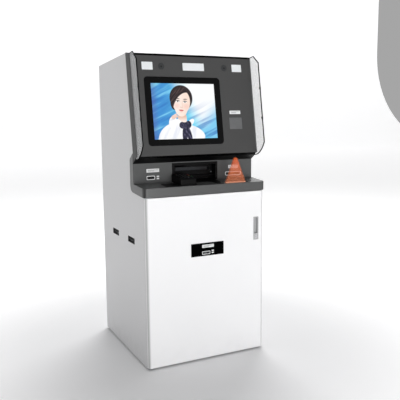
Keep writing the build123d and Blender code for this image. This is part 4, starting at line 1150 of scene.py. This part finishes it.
makeRearScrews()
makeRearLock()
makeCameraEyes()
makeDoorSeal()
makeDialScale()
makeRecessLamp()
makeTags()
printLabel("door_markers", (0, -1, 0), "front_door")
print("fittings made")


# the floor's glow is dimmed round the cabinet to paint a soft shadow
stage = {"reach": 18.0, "high": 14, "bend": 4.0, "bendSteps": 16, "smoothTo": 60, "glow": 0.43,
         "paintedShadowTo": 0.6, "paintedShadowEnd": 1.9, "paintedShadowGlow": (0.02, 0.02, 0.02), "colour": tone(246, 246, 247)}


def stagePaint():
    # matt white that glows more away from the cabinet; the dim glow near it is a painted soft shadow
    paint = Finish("stagePaint", **{"Roughness": 0.9, "Specular IOR Level": 0.1,
                                    "Emission Strength": stage["glow"]})
    places = paint.places()
    grain = paint.noise(places, 3.0, 2)
    x, y = paint.split(places)[:2]
    # painted shadow: the glow fades in only away from the cabinet
    far = paint.fade((x * x + y * y) ** 0.5, stage["paintedShadowTo"], stage["paintedShadowEnd"])
    paint.set(Base_Color=paint.mix(grain, shade(stage["colour"], 0.995), stage["colour"]),
              Emission_Color=paint.mix(far, stage["paintedShadowGlow"], (1, 1, 1)))
    return paint.material


def makeStage():
    # a plain floor that bends up into a wall far behind
    letGo()
    bpy.ops.mesh.primitive_plane_add(size=2 * stage["reach"])
    floor = bpy.context.object
    pickEdges(floor, lambda ends: min(end.y for end in ends) > stage["reach"] - 0.1)
    bpy.ops.mesh.extrude_region_move(TRANSFORM_OT_translate={"value": (0, 0, stage["high"])})
    doneEditing()
    addModifier(floor, "BEVEL", width=stage["bend"], segments=stage["bendSteps"], limit_method="ANGLE")
    smooth(floor, stage["smoothTo"])
    floor.name = "stage_floor"
    floor.data.materials.append(stagePaint())


lamps = {
    # name: (place, aim, width, watts)
    "key_light": ((0.1, -4.2, 0.25), (0, 0, 0.1), 1.6, 62),
    "side_light": ((-3.4, 0.2, 0.3), (-0.32, 0.3, 0.0), 1.0, 8),
    "back_light": ((1.6, 2.6, 4.2), (0, -0.6, 0.0), 3.0, 130),
}


def addLamp(name, place, aim, width, watts):
    lamp = bpy.data.lights.new(name, "AREA")
    lamp.shape = "DISK"
    lamp.size = width
    lamp.energy = watts
    holder = bpy.data.objects.new(name, lamp)
    bpy.context.scene.collection.objects.link(holder)
    direction = Vector(aim) - Vector(place)
    matrix = direction.to_track_quat("-Z", "Y").to_matrix().to_4x4()
    matrix.translation = place
    holder.matrix_world = matrix


sky = {"level": 0.38, "ahead": 0.46, "side": 0.2, "top": 0.8}


def makeSky():
    # soft studio surround, brighter low in front
    world = bpy.data.worlds.new("studio")
    bpy.context.scene.world = world
    world.use_nodes = True
    tree = NodeTree(world.node_tree)
    y, z = tree.split(tree.add("ShaderNodeTexCoord", {}, {}).outputs["Generated"])[1:]
    ahead = tree.fade(y, -1.0, sky["side"], 1.0, 0.0)
    low = tree.fade(z, 0.0, sky["top"], 1.0, 0.0)
    glow = sky["level"] + ahead * low * sky["ahead"]
    tree.join(tree.mix(glow, (0, 0, 0), (1, 1, 1)), world.node_tree.nodes["Background"].inputs["Color"])


cameraPlace = {"spot": (-1.2568, -2.8168, 1.2105), "yaw": 26.105, "pitch": 8.192, "roll": -0.523,
               "lens": 52.3, "sensor": 36.0}


def makeCamera():
    yaw, pitch, roll = (math.radians(cameraPlace[key]) for key in ("yaw", "pitch", "roll"))
    ahead = Vector((math.sin(yaw) * math.cos(pitch), math.cos(yaw) * math.cos(pitch), -math.sin(pitch)))
    across = Vector((math.cos(yaw), -math.sin(yaw), 0))
    up = across.cross(ahead)
    rolledAcross = math.cos(roll) * across + math.sin(roll) * up
    rolledUp = math.cos(roll) * up - math.sin(roll) * across
    data = bpy.data.cameras.new("studio_camera")
    data.lens = cameraPlace["lens"]
    data.sensor_width = cameraPlace["sensor"]
    camera = bpy.data.objects.new("studio_camera", data)
    bpy.context.scene.collection.objects.link(camera)
    matrix = Matrix((rolledAcross, rolledUp, -ahead)).transposed().to_4x4()
    matrix.translation = cameraPlace["spot"]
    camera.matrix_world = matrix
    bpy.context.scene.camera = camera


makeStage()
for name, (place, aim, width, watts) in lamps.items():
    addLamp(name, place, aim, width, watts)
makeSky()
makeCamera()
bpy.context.scene.view_settings.view_transform = "Standard"
print("stage, light and camera made")
